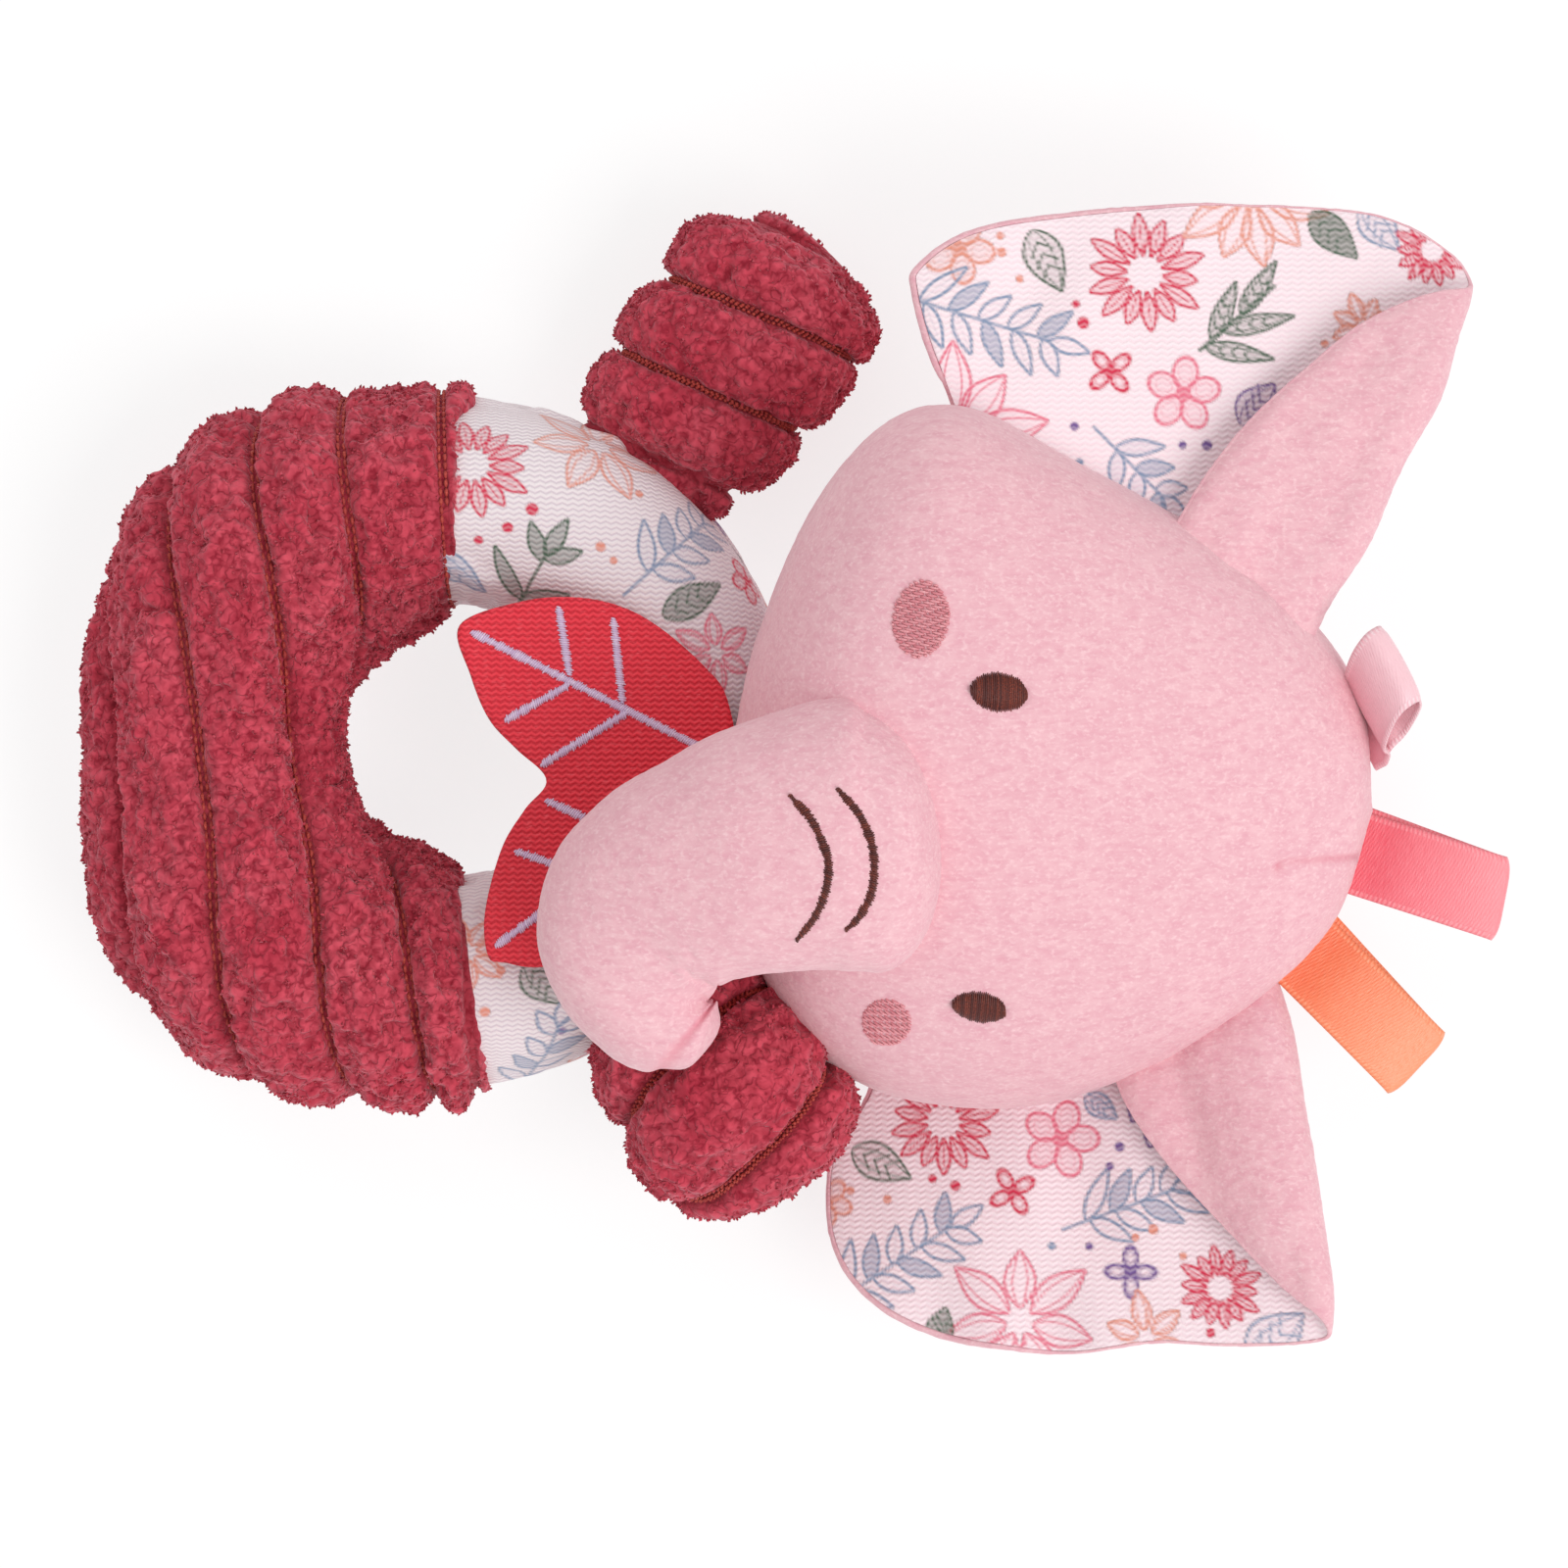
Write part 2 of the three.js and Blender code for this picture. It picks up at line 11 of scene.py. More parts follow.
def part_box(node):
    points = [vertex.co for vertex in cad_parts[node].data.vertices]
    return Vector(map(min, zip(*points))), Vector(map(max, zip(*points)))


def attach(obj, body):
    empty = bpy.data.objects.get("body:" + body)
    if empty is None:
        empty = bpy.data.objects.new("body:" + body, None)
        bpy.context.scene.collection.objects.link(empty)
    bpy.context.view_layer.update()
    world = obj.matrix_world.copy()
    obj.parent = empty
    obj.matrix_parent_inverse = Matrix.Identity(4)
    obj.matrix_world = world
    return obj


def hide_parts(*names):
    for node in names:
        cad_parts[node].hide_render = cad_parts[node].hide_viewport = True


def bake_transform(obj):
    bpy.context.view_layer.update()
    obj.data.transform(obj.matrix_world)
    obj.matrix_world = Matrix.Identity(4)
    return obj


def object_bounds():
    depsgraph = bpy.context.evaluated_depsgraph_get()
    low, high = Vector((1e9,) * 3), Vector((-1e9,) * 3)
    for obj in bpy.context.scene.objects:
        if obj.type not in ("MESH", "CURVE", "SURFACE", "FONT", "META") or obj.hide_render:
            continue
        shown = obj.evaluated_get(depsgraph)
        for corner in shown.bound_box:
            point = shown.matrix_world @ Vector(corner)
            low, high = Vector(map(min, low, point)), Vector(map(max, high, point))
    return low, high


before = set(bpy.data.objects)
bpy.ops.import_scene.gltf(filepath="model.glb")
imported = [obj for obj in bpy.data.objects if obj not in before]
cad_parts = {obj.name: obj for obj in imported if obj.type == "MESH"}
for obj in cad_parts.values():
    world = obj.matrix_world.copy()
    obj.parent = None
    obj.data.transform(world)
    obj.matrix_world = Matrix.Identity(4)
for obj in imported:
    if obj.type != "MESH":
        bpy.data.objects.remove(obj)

CAD_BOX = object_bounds()
MM = 0.001
FLAT_RISE = 0.32  # the ring's flat underside stands this high above the toy's origin
ring_low, ring_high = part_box("ring_back_print")
ORIGIN = np.array([
    (ring_low.x + ring_high.x) / 2, (ring_low.y + ring_high.y) / 2, ring_low.z - FLAT_RISE * MM,
])
ROOT = "ring_and_head"

# ---------------------------------------------------------------- sizes
RING_R, RING_Z = 30.0, 13.0  # middle of the hole to the tube's centre, and its height
BACK_R, PRINT_R = 13.0, 13.0
PLUSH_R, RIB_PUFF = 13.2, 2.6  # plush at the bottom of a groove, and how far a rib rises from it
PANEL_R = 14.0  # tube radius on which the ring's flat panels are laid out
GROOVES = [(-53.4, 0.13), (-42, 0.13), (-30.6, 0.13), (-19.2, 0.13), (-8.6, 0.13), (0.9, 0.05), (12, 0.05)]
GROOVE_HALF = 0.55  # half the width of the stitched strip in a groove
HEAD_AT, HEAD_YAW, HEAD_ROLL, HEAD_DEPTH = np.array([4.5, 73.0, 28.4]), 20.0, -6.0, 0.62
HEAD_OUTLINE = [  # half width, height
    (0, -38.5), (12, -37), (26, -33), (35, -27.5), (39.6, -21), (41.2, -13), (39.8, -3), (35.6, 9),
    (30.2, 20), (23, 29), (13.5, 35.5), (0, 38),
]
TRUNK_SIDES = [  # x, y of its outer side, x, y of its inner side, height of its middle, half height
    (-2.4, 60.3, 29.0, 60.3, 47.4, 12.2), (-4.1, 51.3, 27.9, 51.3, 48.8, 13.3),
    (-4.8, 46.6, 27.4, 46.6, 49.2, 13.6), (-0.6, 33.7, 27.9, 40.0, 48.9, 12.8),
    (3.0, 27.0, 28.6, 36.0, 47.9, 12.0), (6.8, 20.5, 29.4, 34.2, 46.8, 11.2),
    (13.7, 14.2, 30.2, 33.0, 45.2, 10.2), (22.7, 12.0, 30.9, 32.4, 44.0, 9.4),
    (30.6, 14.2, 31.4, 32.0, 43.0, 8.6), (37.0, 19.5, 31.7, 32.2, 42.4, 7.8),
    (39.8, 24.6, 31.6, 32.6, 42.0, 7.2), (39.6, 29.4, 31.4, 33.2, 41.8, 6.6),
    (37.4, 33.2, 31.4, 33.8, 41.6, 5.4),
]
TRUNK_LINES = {  # the embroidered lines across it, as (x, y)
    "trunk_line_lower": [
        (6.8, 41.9), (9.5, 44.3), (12.6, 45.8), (14.8, 46.4), (17.9, 46.1), (21.1, 44.8), (23.8, 42.7),
    ],
    "trunk_line_upper": [
        (6.0, 47.5), (9.0, 50.0), (12.1, 51.4), (15.2, 51.8), (18.5, 51.4), (21.1, 50.0), (22.6, 48.5),
    ],
}
TRUNK_SEWN = ((12.3, 58.0, 48.0), (13.6, 41.0, 49.0))  # two points at the trunk's root on the face, passed to sewn() as start and end
EAR_CREASE, EAR_FOLD, EAR_ROOT = 46.2, 2.4, 70.0
EAR_RIMS = {  # free edge of each ear before it is folded, from its low root, as (along the root, out)
    "right": [
        (0.3, 1.1), (-6.6, 5.6), (-12.5, 12.1), (-13.5, 15.6), (-9.6, 22.5), (1.1, 30.9), (16.9, 40.3),
        (33.5, 47.9), (43.8, 48.1), (49.4, 45.6), (56.2, 41.0), (61.9, 34.1), (65.5, 26.3), (69.1, 16.9),
        (71.1, 7.5),
    ],
    "left": [
        (-4.2, 4.7), (-8.2, 8.9), (-10.4, 12.9), (-11.5, 20.3), (-9.6, 27.1), (-4.4, 33.3), (4.7, 38.5),
        (16.6, 41.9), (26.4, 42.9), (34.6, 45.1), (44.1, 47.0), (50, 46.6), (55.5, 41.8), (62, 31.6),
        (67.8, 21.4), (71.5, 11.1),
    ],
}
ARM_SHAPE = [  # share of the length, half width, half thickness
    (0, 9.6, 3.0), (0.14, 11.6, 6.0), (0.4, 12.9, 7.8), (0.72, 13.2, 7.6), (0.88, 12.6, 6.8), (1, 11.0, 5.6),
]
ARMS = {  # where it leaves the ring, its direction in plan, its centre line as (out, up), and its grooves
    "right": (-1, 35.6, 37, [(-1.8, 0), (10.5, 1.2), (21.5, 1.8), (33.6, 0.8)], (2.3, 12.8, 23.7, 34.4)),
    "left": (
        1, 40.6, 30, [(-1.8, 0), (3.2, 8.4), (11.6, 13.2), (18.9, 10.6), (22.0, 4.6)],
        (4.3, 15.2, 26.0, 35.4),
    ),
}
LEAF_Z = 28.9
LEAF_EDGE = [  # the leaf pair's outline, round both leaves, as (y, x)
    (1.6, -14.0), (9.0, -16.9), (15.7, -17.4), (21.2, -16.3), (26.0, -13.7), (31.3, -9.1), (34.2, -5.0),
    (35.5, 4.0), (33.5, 14.0), (25.5, 24.0), (12.7, 27.6), (6.9, 27.2), (5.0, 26.4), (4.6, 21.2),
    (6.6, 13.4), (9.4, 8.6), (12.1, 4.9), (8.3, 1.0), (5.1, -2.6), (2.9, -7.9),
]
LEAF_VEINS = {  # each vein as a start and an end, (y, x)
    "right": [((3.0, -13.2), (31.5, 1.2)), ((14.9, -8.0), (13.6, -16.2)), ((21.4, -4.6), (20.3, -14.8)),
              ((14.8, -6.7), (7.1, -2.4)), ((21.9, -3.3), (11.5, 3.1))],
    "left": [((5.9, 25.2), (34.0, 5.0)), ((12.1, 7.4), (17.8, 10.0)), ((8.3, 13.6), (14.2, 15.6)),
             ((20.5, 15.4), (20.5, 22.5))],
}
RIBBONS = {  # place along the crown, lean, tilt, length, bulge, shear, slant of the fold
    "pale_pink": (-11.0, -28.0, 66.0, 11.6, 4.4, -0.38, 0.0),
    "coral": (5.3, 19.0, 4.0, 16.8, 2.4, 0.0, 0.14),
    "orange": (18.6, 46.0, -6.0, 18.8, 2.4, 0.0, 0.05),
}
ARM_CREST, ARM_SINK = 0.6, 2.2  # an arm's ribs stand out this far, and its grooves sink this far below them
TAPE = 10.2  # width of the satin tape
SEWN_IN = 3.0  # length of each end of a satin loop that is inside the seam
PRINT_LAP = 0.22  # the front print runs this angle past the ring's widest line, under the plush
PLUSH_LAP = 0.1  # the plush runs this angle past the seams on the ring's outer and inner sides
CORNER_FULL = (5.0, 3.8)  # how much fuller the plush is at the ring's left and right outer corner
BEND_FULL = 1.3  # how much fuller it is inside the ring's bend
PILE_FALL = 1.7  # how much lower its crests are beside the print
HEAD_GIRTH = 230.0  # length round the head
CROWN_LIFT = 2.4  # how far the stuffing pushes the crown out past its panels' flat shape
TIP_SEAM = 0.925  # where the trunk's tip is tucked in, as a share of its length
LEAF_THICK, TAPE_THICK = 1.0, 0.3
CURL = 0.42  # length of the loose ends of the curly pile
FOLD_AT = 23.0  # how far along the tape its loop folds over
RIM_ROLL = 0.75  # radius of the rolled edge of an ear


def to_row(points):
    return ORIGIN + np.asarray(points, float) * MM


def srgb(*rgb):
    c = np.array(rgb, float) / 255
    return tuple(np.where(c <= 0.04045, c / 12.92, ((c + 0.055) / 1.055) ** 2.4))


# ---------------------------------------------------------------- small shapes and directions
def bell(x, width):
    """1 where x is 0, and falling smoothly to almost 0 beyond twice the width."""
    return np.exp(-((x / width) ** 2))


def rounded(t):
    """A quarter circle: rises steeply from 0 at 0 and is level at 1."""
    return np.sqrt(1 - (1 - np.clip(t, 0, 1)) ** 2)


def power(wave, exponent):
    """wave raised to a power, with its sign kept."""
    return np.sign(wave) * np.abs(wave) ** exponent


def oval(v, fullness):
    """How far across and up a point of a tube's section is. fullness above 1 squares the section."""
    angle = v * 2 * math.pi
    return power(np.cos(angle), 1 / fullness), power(np.sin(angle), 1 / fullness)


def unit(vectors):
    return vectors / np.linalg.norm(vectors, axis=-1, keepdims=True)


def heading(angle):
    return np.array([math.cos(angle), math.sin(angle)])


def left_of(ahead):
    """The directions (x, y) at right angles to the given ones, on their left."""
    return np.stack([-ahead[..., 1], ahead[..., 0]], -1)


def level(flat):
    """Points (x, y) as (x, y, 0)."""
    return np.concatenate([flat, np.zeros_like(flat[..., :1])], -1)


def turned(axis, degrees):
    """The matrix that turns points about an axis."""
    c, s = heading(math.radians(degrees))
    rows = {
        "x": [[1, 0, 0], [0, c, -s], [0, s, c]],
        "y": [[c, 0, s], [0, 1, 0], [-s, 0, c]],
        "z": [[c, -s, 0], [s, c, 0], [0, 0, 1]],
    }
    return np.array(rows[axis])


# ---------------------------------------------------------------- numbers that look random but repeat
def scatter(cells, seed):
    """Three repeatable numbers from 0 to 1 for each whole-numbered cell."""
    c = cells.astype(np.int64).astype(np.uint32)
    x, y, z = (c[..., i] * np.uint32(prime) for i, prime in enumerate((73856093, 19349663, 83492791)))
    mixed = x ^ y ^ z
    out = []
    for i in range(3):
        h = mixed + np.uint32(seed * 7919 + i * 104729)
        for _ in range(2):
            h = (h ^ (h >> np.uint32(16))) * np.uint32(0x45D9F3B)
        out.append((h ^ (h >> np.uint32(16))) / 4294967295.0)
    return np.stack(out, -1)


def noise(points, size, seed=0):
    """Smooth noise from -1 to 1, with lumps about size across."""
    p = points / size
    cell = np.floor(p)
    f = p - cell
    f = f * f * (3 - 2 * f)
    total = 0
    for corner in np.ndindex(2, 2, 2):
        weight = np.prod(np.where(corner, f, 1 - f), axis=-1)
        total = total + weight * scatter(cell + corner, seed)[..., 0]
    return total * 2 - 1


def clumps(points, size, seed=0):
    """Height of round clumps packed side by side, from 0 in the pits between them to 1 on top."""
    p = points / size
    cell = np.floor(p)
    nearest = np.full(p.shape[:-1], 9.0)
    for corner in np.ndindex(3, 3, 3):
        at = cell + np.array(corner) - 1
        nearest = np.minimum(nearest, np.linalg.norm(at + scatter(at, seed) - p, axis=-1))
    return np.clip(1 - nearest, 0, 1)


# ---------------------------------------------------------------- curves and grids
def smooth_line(points, count, closed=False):
    """count points on a smooth curve through all the given ones, evenly spaced."""
    p = np.asarray(points, float)
    p = np.vstack([p[-1:], p, p[:2]]) if closed else np.vstack([2 * p[:1] - p[1:2], p, 2 * p[-1:] - p[-2:-1]])
    t = np.linspace(0, 1, 24, endpoint=False)[:, None]
    runs = [hermite(p[i], p[i + 1], p[i + 2], p[i + 3], t) for i in range(len(p) - 3)]
    dense = np.vstack(runs + [p[-2:-1]])
    length = np.concatenate([[0], np.cumsum(np.linalg.norm(np.diff(dense, axis=0), axis=1))])
    want = np.linspace(0, length[-1], count, endpoint=not closed)
    return np.stack([np.interp(want, length, dense[:, i]) for i in range(p.shape[1])], -1)


def hermite(a, b, c, d, t):
    return 0.5 * (2 * b + (c - a) * t + (2 * a - 5 * b + 4 * c - d) * t**2 + (3 * b - a - 3 * c + d) * t**3)


def finer(grid, factor, wrap):
    """The same grid with factor times as many steps each way."""
    for axis in (0, 1):
        g = np.moveaxis(grid, axis, 0)
        ends = (g[-1:], g[:2]) if wrap[axis] else (2 * g[:1] - g[1:2], 2 * g[-1:] - g[-2:-1])
        p = np.concatenate([ends[0], g, ends[1]])
        steps = [hermite(p[:-3], p[1:-2], p[2:-1], p[3:], k / factor) for k in range(factor)]
        fine = np.stack(steps, 1).reshape(-1, *g.shape[1:])
        grid = np.moveaxis(fine if wrap[axis] else np.concatenate([fine, g[-1:]]), 0, axis)
    return grid


def line_at(line, u):
    """Each column of a line, at the share u of the way along it."""
    index = np.arange(len(line))
    return [np.interp(u * (len(line) - 1), index, column) for column in line.T]


def shares(count, wraps):
    return np.linspace(0, 1, count, endpoint=not wraps)


def slopes(grid, axis, wraps):
    if wraps:
        return np.roll(grid, -1, axis) - np.roll(grid, 1, axis)
    return np.gradient(grid, axis=axis)


def normals(grid, wrap):
    n = np.cross(slopes(grid, 0, wrap[0]), slopes(grid, 1, wrap[1]))
    length = np.linalg.norm(n, axis=-1, keepdims=True)
    n = n / np.maximum(length, 1e-9)
    for end, beside in ((0, 1), (-1, -2)):
        if (length[end] < 1e-6).mean() > 0.5:  # the grid closes to a point there
            n[end] = n[beside].mean(0)
    return n / np.maximum(np.linalg.norm(n, axis=-1, keepdims=True), 1e-9)


def grid_faces(rows, cols, wrap):
    index = np.arange(rows * cols).reshape(rows, cols)
    if wrap[0]:
        index = np.vstack([index, index[:1]])
    if wrap[1]:
        index = np.hstack([index, index[:, :1]])
    return np.stack([index[:-1, :-1], index[1:, :-1], index[1:, 1:], index[:-1, 1:]], -1).reshape(-1, 4)


# ---------------------------------------------------------------- Blender objects
ATTRIBUTE_KINDS = {1: ("FLOAT", "value"), 3: ("FLOAT_VECTOR", "vector"), 4: ("FLOAT_COLOR", "color")}


def mesh_object(name, points, faces, look=None, weld=False, **attributes):
    """points in toy millimetres. Each attribute holds one number, vector or colour a point."""
    mesh = bpy.data.meshes.new(name)
    mesh.from_pydata(to_row(points).tolist(), [], faces.tolist() if hasattr(faces, "tolist") else faces)
    for key, values in attributes.items():
        values = np.asarray(values, float)
        width = 1 if values.ndim == 1 else values.shape[-1]
        kind, field = ATTRIBUTE_KINDS[width]
        mesh.attributes.new(key, kind, "POINT").data.foreach_set(field, values.ravel())
    mesh.shade_smooth()
    obj = bpy.data.objects.new(name, mesh)
    bpy.context.scene.collection.objects.link(obj)
    if weld:
        weld_points(obj)
    if look:
        mesh.materials.append(look)
    return obj


def weld_points(obj):
    bm = bmesh.new()
    bm.from_mesh(obj.data)
    bmesh.ops.remove_doubles(bm, verts=bm.verts, dist=2e-6)
    bmesh.ops.dissolve_degenerate(bm, edges=bm.edges, dist=1e-7)
    bm.to_mesh(obj.data)
    bm.free()


def grid_object(name, grid, wrap, look, weld=False, **attributes):
    rows, cols = grid.shape[:2]
    flat = {k: v.reshape(rows * cols, *v.shape[2:]) for k, v in attributes.items()}
    return mesh_object(name, grid.reshape(-1, 3), grid_faces(rows, cols, wrap), look, weld, **flat)


CLOTH_SCALE = 10.0  # the cloth is simulated this many times larger, as Blender's settings suit a cushion
CLOTH_FRAMES, CLOTH_PRESSURE = 20, 4


def places(obj):
    return np.array([v.co for v in obj.data.vertices])


def inflate(grid, wrap, held, cap, slack=0.03):
    """Blows a stuffed skin up against the thread that holds it, and returns how far each point moved.

    held is 1 where the skin is stitched down. cap is the furthest that a point may move.
    """
    rows, cols = grid.shape[:2]
    points = (grid.reshape(-1, 3) - grid.mean((0, 1))) * CLOTH_SCALE
    obj = mesh_object("cloth_run", points, grid_faces(rows, cols, wrap))
    obj.vertex_groups.new(name="held").add(np.flatnonzero(held.ravel() > 0.5).tolist(), 1.0, "REPLACE")
    settings = obj.modifiers.new("cloth", "CLOTH").settings
    settings.quality = 6
    settings.vertex_group_mass = "held"
    settings.use_pressure = True
    settings.uniform_pressure_force = CLOTH_PRESSURE
    settings.shrink_min = -slack
    settings.effector_weights.gravity = 0
    scene = bpy.context.scene
    start = places(obj)
    for step in range(1, CLOTH_FRAMES + 1):
        scene.frame_set(step)
    done = obj.evaluated_get(bpy.context.evaluated_depsgraph_get())
    moved = (places(done) - start) / (MM * CLOTH_SCALE)
    bpy.data.objects.remove(obj)
    scene.frame_set(1)
    moved = np.nan_to_num(moved).reshape(grid.shape)
    far = np.linalg.norm(moved, axis=-1, keepdims=True)
    return moved * np.minimum(1, cap / np.maximum(far, 1e-6))


def stuffed(shape, rows, cols, factor, wrap, held, cap, slack=0.03):
    """A fine grid of a skin: its shape plus what cloth simulation on a coarser grid adds to it."""
    sizes = [(rows, cols)]
    sizes.append([n * factor if closed else (n - 1) * factor + 1 for n, closed in zip(sizes[0], wrap)])
    coarse, fine = (np.meshgrid(*map(shares, size, wrap), indexing="ij") for size in sizes)
    moved = inflate(shape(*coarse), wrap, held(*coarse), cap, slack)
    return shape(*fine) + finer(moved, factor, wrap), fine


# ---------------------------------------------------------------- materials
class Look:
    """A procedural material being put together."""

    def __init__(self, name, roughness=0.9, specular=0.3, sheen=0.0, sheen_roughness=0.4):
        self.material = bpy.data.materials.new(name)
        self.material.use_nodes = True
        self.tree = self.material.node_tree
        self.shader = self.tree.nodes["Principled BSDF"]
        settings = {"Roughness": roughness, "Specular IOR Level": specular, "Sheen Weight": sheen,
                    "Sheen Roughness": sheen_roughness}
        for socket, value in settings.items():
            self.shader.inputs[socket].default_value = value

    def add(self, kind, inputs, output=0, **settings):
        made = self.tree.nodes.new(kind)
        for key, value in settings.items():
            setattr(made, key, value)
        for key, value in inputs.items():
            if isinstance(value, bpy.types.NodeSocket):
                self.tree.links.new(value, made.inputs[key])
            elif value is not None:
                made.inputs[key].default_value = value
        return made.outputs[output]

    def attribute(self, name, output="Vector"):
        return self.add("ShaderNodeAttribute", {}, output, attribute_name=name)

    def noise(self, vector, scale, detail=2.0):
        return self.add("ShaderNodeTexNoise", {"Vector": vector, "Scale": scale, "Detail": detail}, "Fac")

    def stretched(self, vector, x, y, z):
        return self.add("ShaderNodeVectorMath", {0: vector, 1: (x, y, z)}, operation="MULTIPLY")

    def math(self, operation, *values):
        return self.add("ShaderNodeMath", dict(enumerate(values)), operation=operation)

    def total(self, *parts):
        """The sum of (value, weight) pairs."""
        *others, (value, weight) = parts
        height = self.math("MULTIPLY", value, weight)
        for value, weight in reversed(others):
            height = self.math("MULTIPLY_ADD", value, weight, height)
        return height

    def away(self, value, middle):
        return self.math("ABSOLUTE", self.math("SUBTRACT", value, middle))

    def wave(self, value, pitch):
        """A wave from 0 to 1."""
        turn = self.math("MULTIPLY", value, 2 * math.pi / pitch)
        return self.math("MULTIPLY_ADD", self.math("SINE", turn), 0.5, 0.5)

    def plan(self, vector):
        """X and Y of a vector."""
        return [self.add("ShaderNodeSeparateXYZ", {0: vector}, i) for i in range(2)]

    def object_mm(self):
        return self.stretched(self.add("ShaderNodeTexCoord", {}, "Object"), 1 / MM, 1 / MM, 1 / MM)

    def spread(self, value, low, high):
        """value, with low to high spread over 0 to 1."""
        return self.add("ShaderNodeMapRange", {"Value": value, "From Min": low, "From Max": high})

    def mix(self, share, low, high):
        rgba = [c if isinstance(c, bpy.types.NodeSocket) else (*c, 1) for c in (low, high)]
        return self.add("ShaderNodeMix", {0: share, 6: rgba[0], 7: rgba[1]}, 2, data_type="RGBA")

    def finish(self, colour, height=None, depth=0.1):
        """height is bump, from 0 to 1, and depth its size in millimetres."""
        self.tree.links.new(colour, self.shader.inputs["Base Color"])
        if height is not None:
            bump = self.add("ShaderNodeBump", {"Height": height, "Distance": depth * MM, "Strength": 1.0})
            self.tree.links.new(bump, self.shader.inputs["Normal"])
        return self.material


def sherpa_look():
    """Raspberry sherpa: curly clumps, with painted shade between them and where it is stitched down, and
    painted highlight on their tops.
    """
    look = Look("sherpa_raspberry", roughness=1.0, specular=0.1, sheen=0.5, sheen_roughness=0.5)
    look.shader.inputs["Sheen Tint"].default_value = (1.0, 0.55, 0.62, 1.0)
    lay = look.attribute("lay")
    pit = look.attribute("pit", "Fac")
    sway = look.add("ShaderNodeTexNoise", {"Vector": lay, "Scale": 0.7, "Detail": 2.0}, "Color")
    bent = look.add("ShaderNodeVectorMath", {0: sway, 1: (1.6, 1.6, 1.6), 2: lay}, operation="MULTIPLY_ADD")
    away = look.add("ShaderNodeTexVoronoi", {"Vector": bent, "Scale": 0.85}, "Distance")
    clump = look.spread(away, 0.75, 0.1)
    crease = look.spread(look.away(look.noise(bent, 0.75, 1.0), 0.5), -0.03, 0.1)
    curls = look.total((look.noise(bent, 1.6, 2.0), 0.3), (clump, 0.35), (crease, 0.35))
    patches = look.noise(lay, 0.12, 2.0)
    top = look.mix(look.spread(patches, 0.3, 0.7), srgb(202, 66, 84), srgb(216, 88, 104))
    # painted light and shade: dark in the creases and between the clumps, lighter on their tops
    curly = look.mix(look.spread(curls, 0.22, 0.76), srgb(138, 26, 44), top)
    # painted shade in the pits between clumps and in the stitched grooves; on the loose curls a random darker
    # tone instead
    return look.finish(look.mix(pit, curly, srgb(128, 24, 36)), curls, 0.3)


def velour_look():
    """Pink velour: short brushed pile that catches light in streaks, painted as pale highlight flecks, and
    painted shade, a deeper pink, in the seams.
    """
    look = Look("velour_pink", roughness=0.95, specular=0.15, sheen=0.35, sheen_roughness=0.45)
    lay = look.attribute("lay")
    pit = look.attribute("pit", "Fac")
    nap = look.noise(look.stretched(lay, 1.5, 0.6, 1.1), 0.8, 4.0)
    grain = look.noise(look.stretched(lay, 1.0, 0.6, 0.8), 2.6, 2.0)
    patches = look.noise(lay, 0.16, 3.0)
    body = look.mix(look.spread(patches, 0.3, 0.7), srgb(232, 180, 189), srgb(237, 189, 196))
    brushed = look.mix(look.spread(nap, 0.3, 0.6), srgb(228, 169, 181), body)
    # painted highlight: pale flecks where the pile catches light
    fine = look.mix(look.spread(grain, 0.5, 0.85), brushed, srgb(246, 208, 212))
    height = look.total((nap, 0.6), (grain, 0.4))
    # painted shade, a deeper pink, in the seams
    return look.finish(look.mix(pit, fine, srgb(220, 124, 142)), height, 0.18)


def zigzag(look, lay, period, swing, pitch):
    """Rows of zigzag stitches along Y, one every pitch across X, as a wave from 0 to 1."""
    across, along = look.plan(lay)
    tooth = look.math("PINGPONG", look.math("MULTIPLY", along, 1 / period), 0.5)
    shifted = look.math("ADD", across, look.math("MULTIPLY", tooth, 4 * swing))
    return look.wave(shifted, pitch)


def print_look(name, cloth, gap):
    """Printed jersey: a fine zigzag knit, with the print sunk in its stitches."""
    look = Look(name, roughness=0.85, specular=0.2, sheen=0.15)
    lay = look.attribute("lay")
    wave = zigzag(look, lay, 1.35, 0.16, 0.74)
    fuzz = look.noise(lay, 2.2, 3.0)
    knit = look.mix(look.spread(wave, 0.0, 0.55), gap, cloth)
    soft = look.mix(look.math("MULTIPLY", fuzz, 0.14), knit, gap)
    ink = look.attribute("ink", "Color")
    cover = look.attribute("ink", "Alpha")
    kept = look.math("MULTIPLY", cover, look.math("MULTIPLY_ADD", wave, -0.22, 1.0))
    return look.finish(look.mix(kept, soft, ink), look.math("MULTIPLY_ADD", fuzz, 0.3, wave), 0.08)


def twill_look():
    """Red leaf cloth with a bold zigzag weave."""
    look = Look("leaf_cloth_red", roughness=0.6, specular=0.4, sheen=0.15)
    lay = look.attribute("lay")
    wave = zigzag(look, lay, 1.08, 0.15, 0.73)
    fibre = look.noise(look.stretched(lay, 3.0, 0.6, 1.0), 1.6, 3.0)
    weave = look.mix(look.spread(wave, 0.1, 0.7), srgb(208, 28, 48), srgb(246, 58, 74))
    bright = look.mix(look.spread(fibre, 0.55, 0.8), weave, srgb(250, 92, 104))
    return look.finish(bright, look.math("MULTIPLY_ADD", fibre, 0.25, wave), 0.14)


def thread_look(name, dark, light, roughness=0.42):
    """Shiny embroidery thread: each strand a little different, between its dark colour and a painted
    highlight, with a fine twist.
    """
    look = Look(name, roughness=roughness, specular=0.5, sheen=0.1)
    lay = look.attribute("lay")
    twist = look.noise(lay, 7.0, 2.0)
    strand = look.attribute("pit", "Fac")
    colour = look.mix(strand, light, dark)
    return look.finish(look.mix(look.spread(twist, 0.35, 0.7), dark, colour), twist, 0.06)


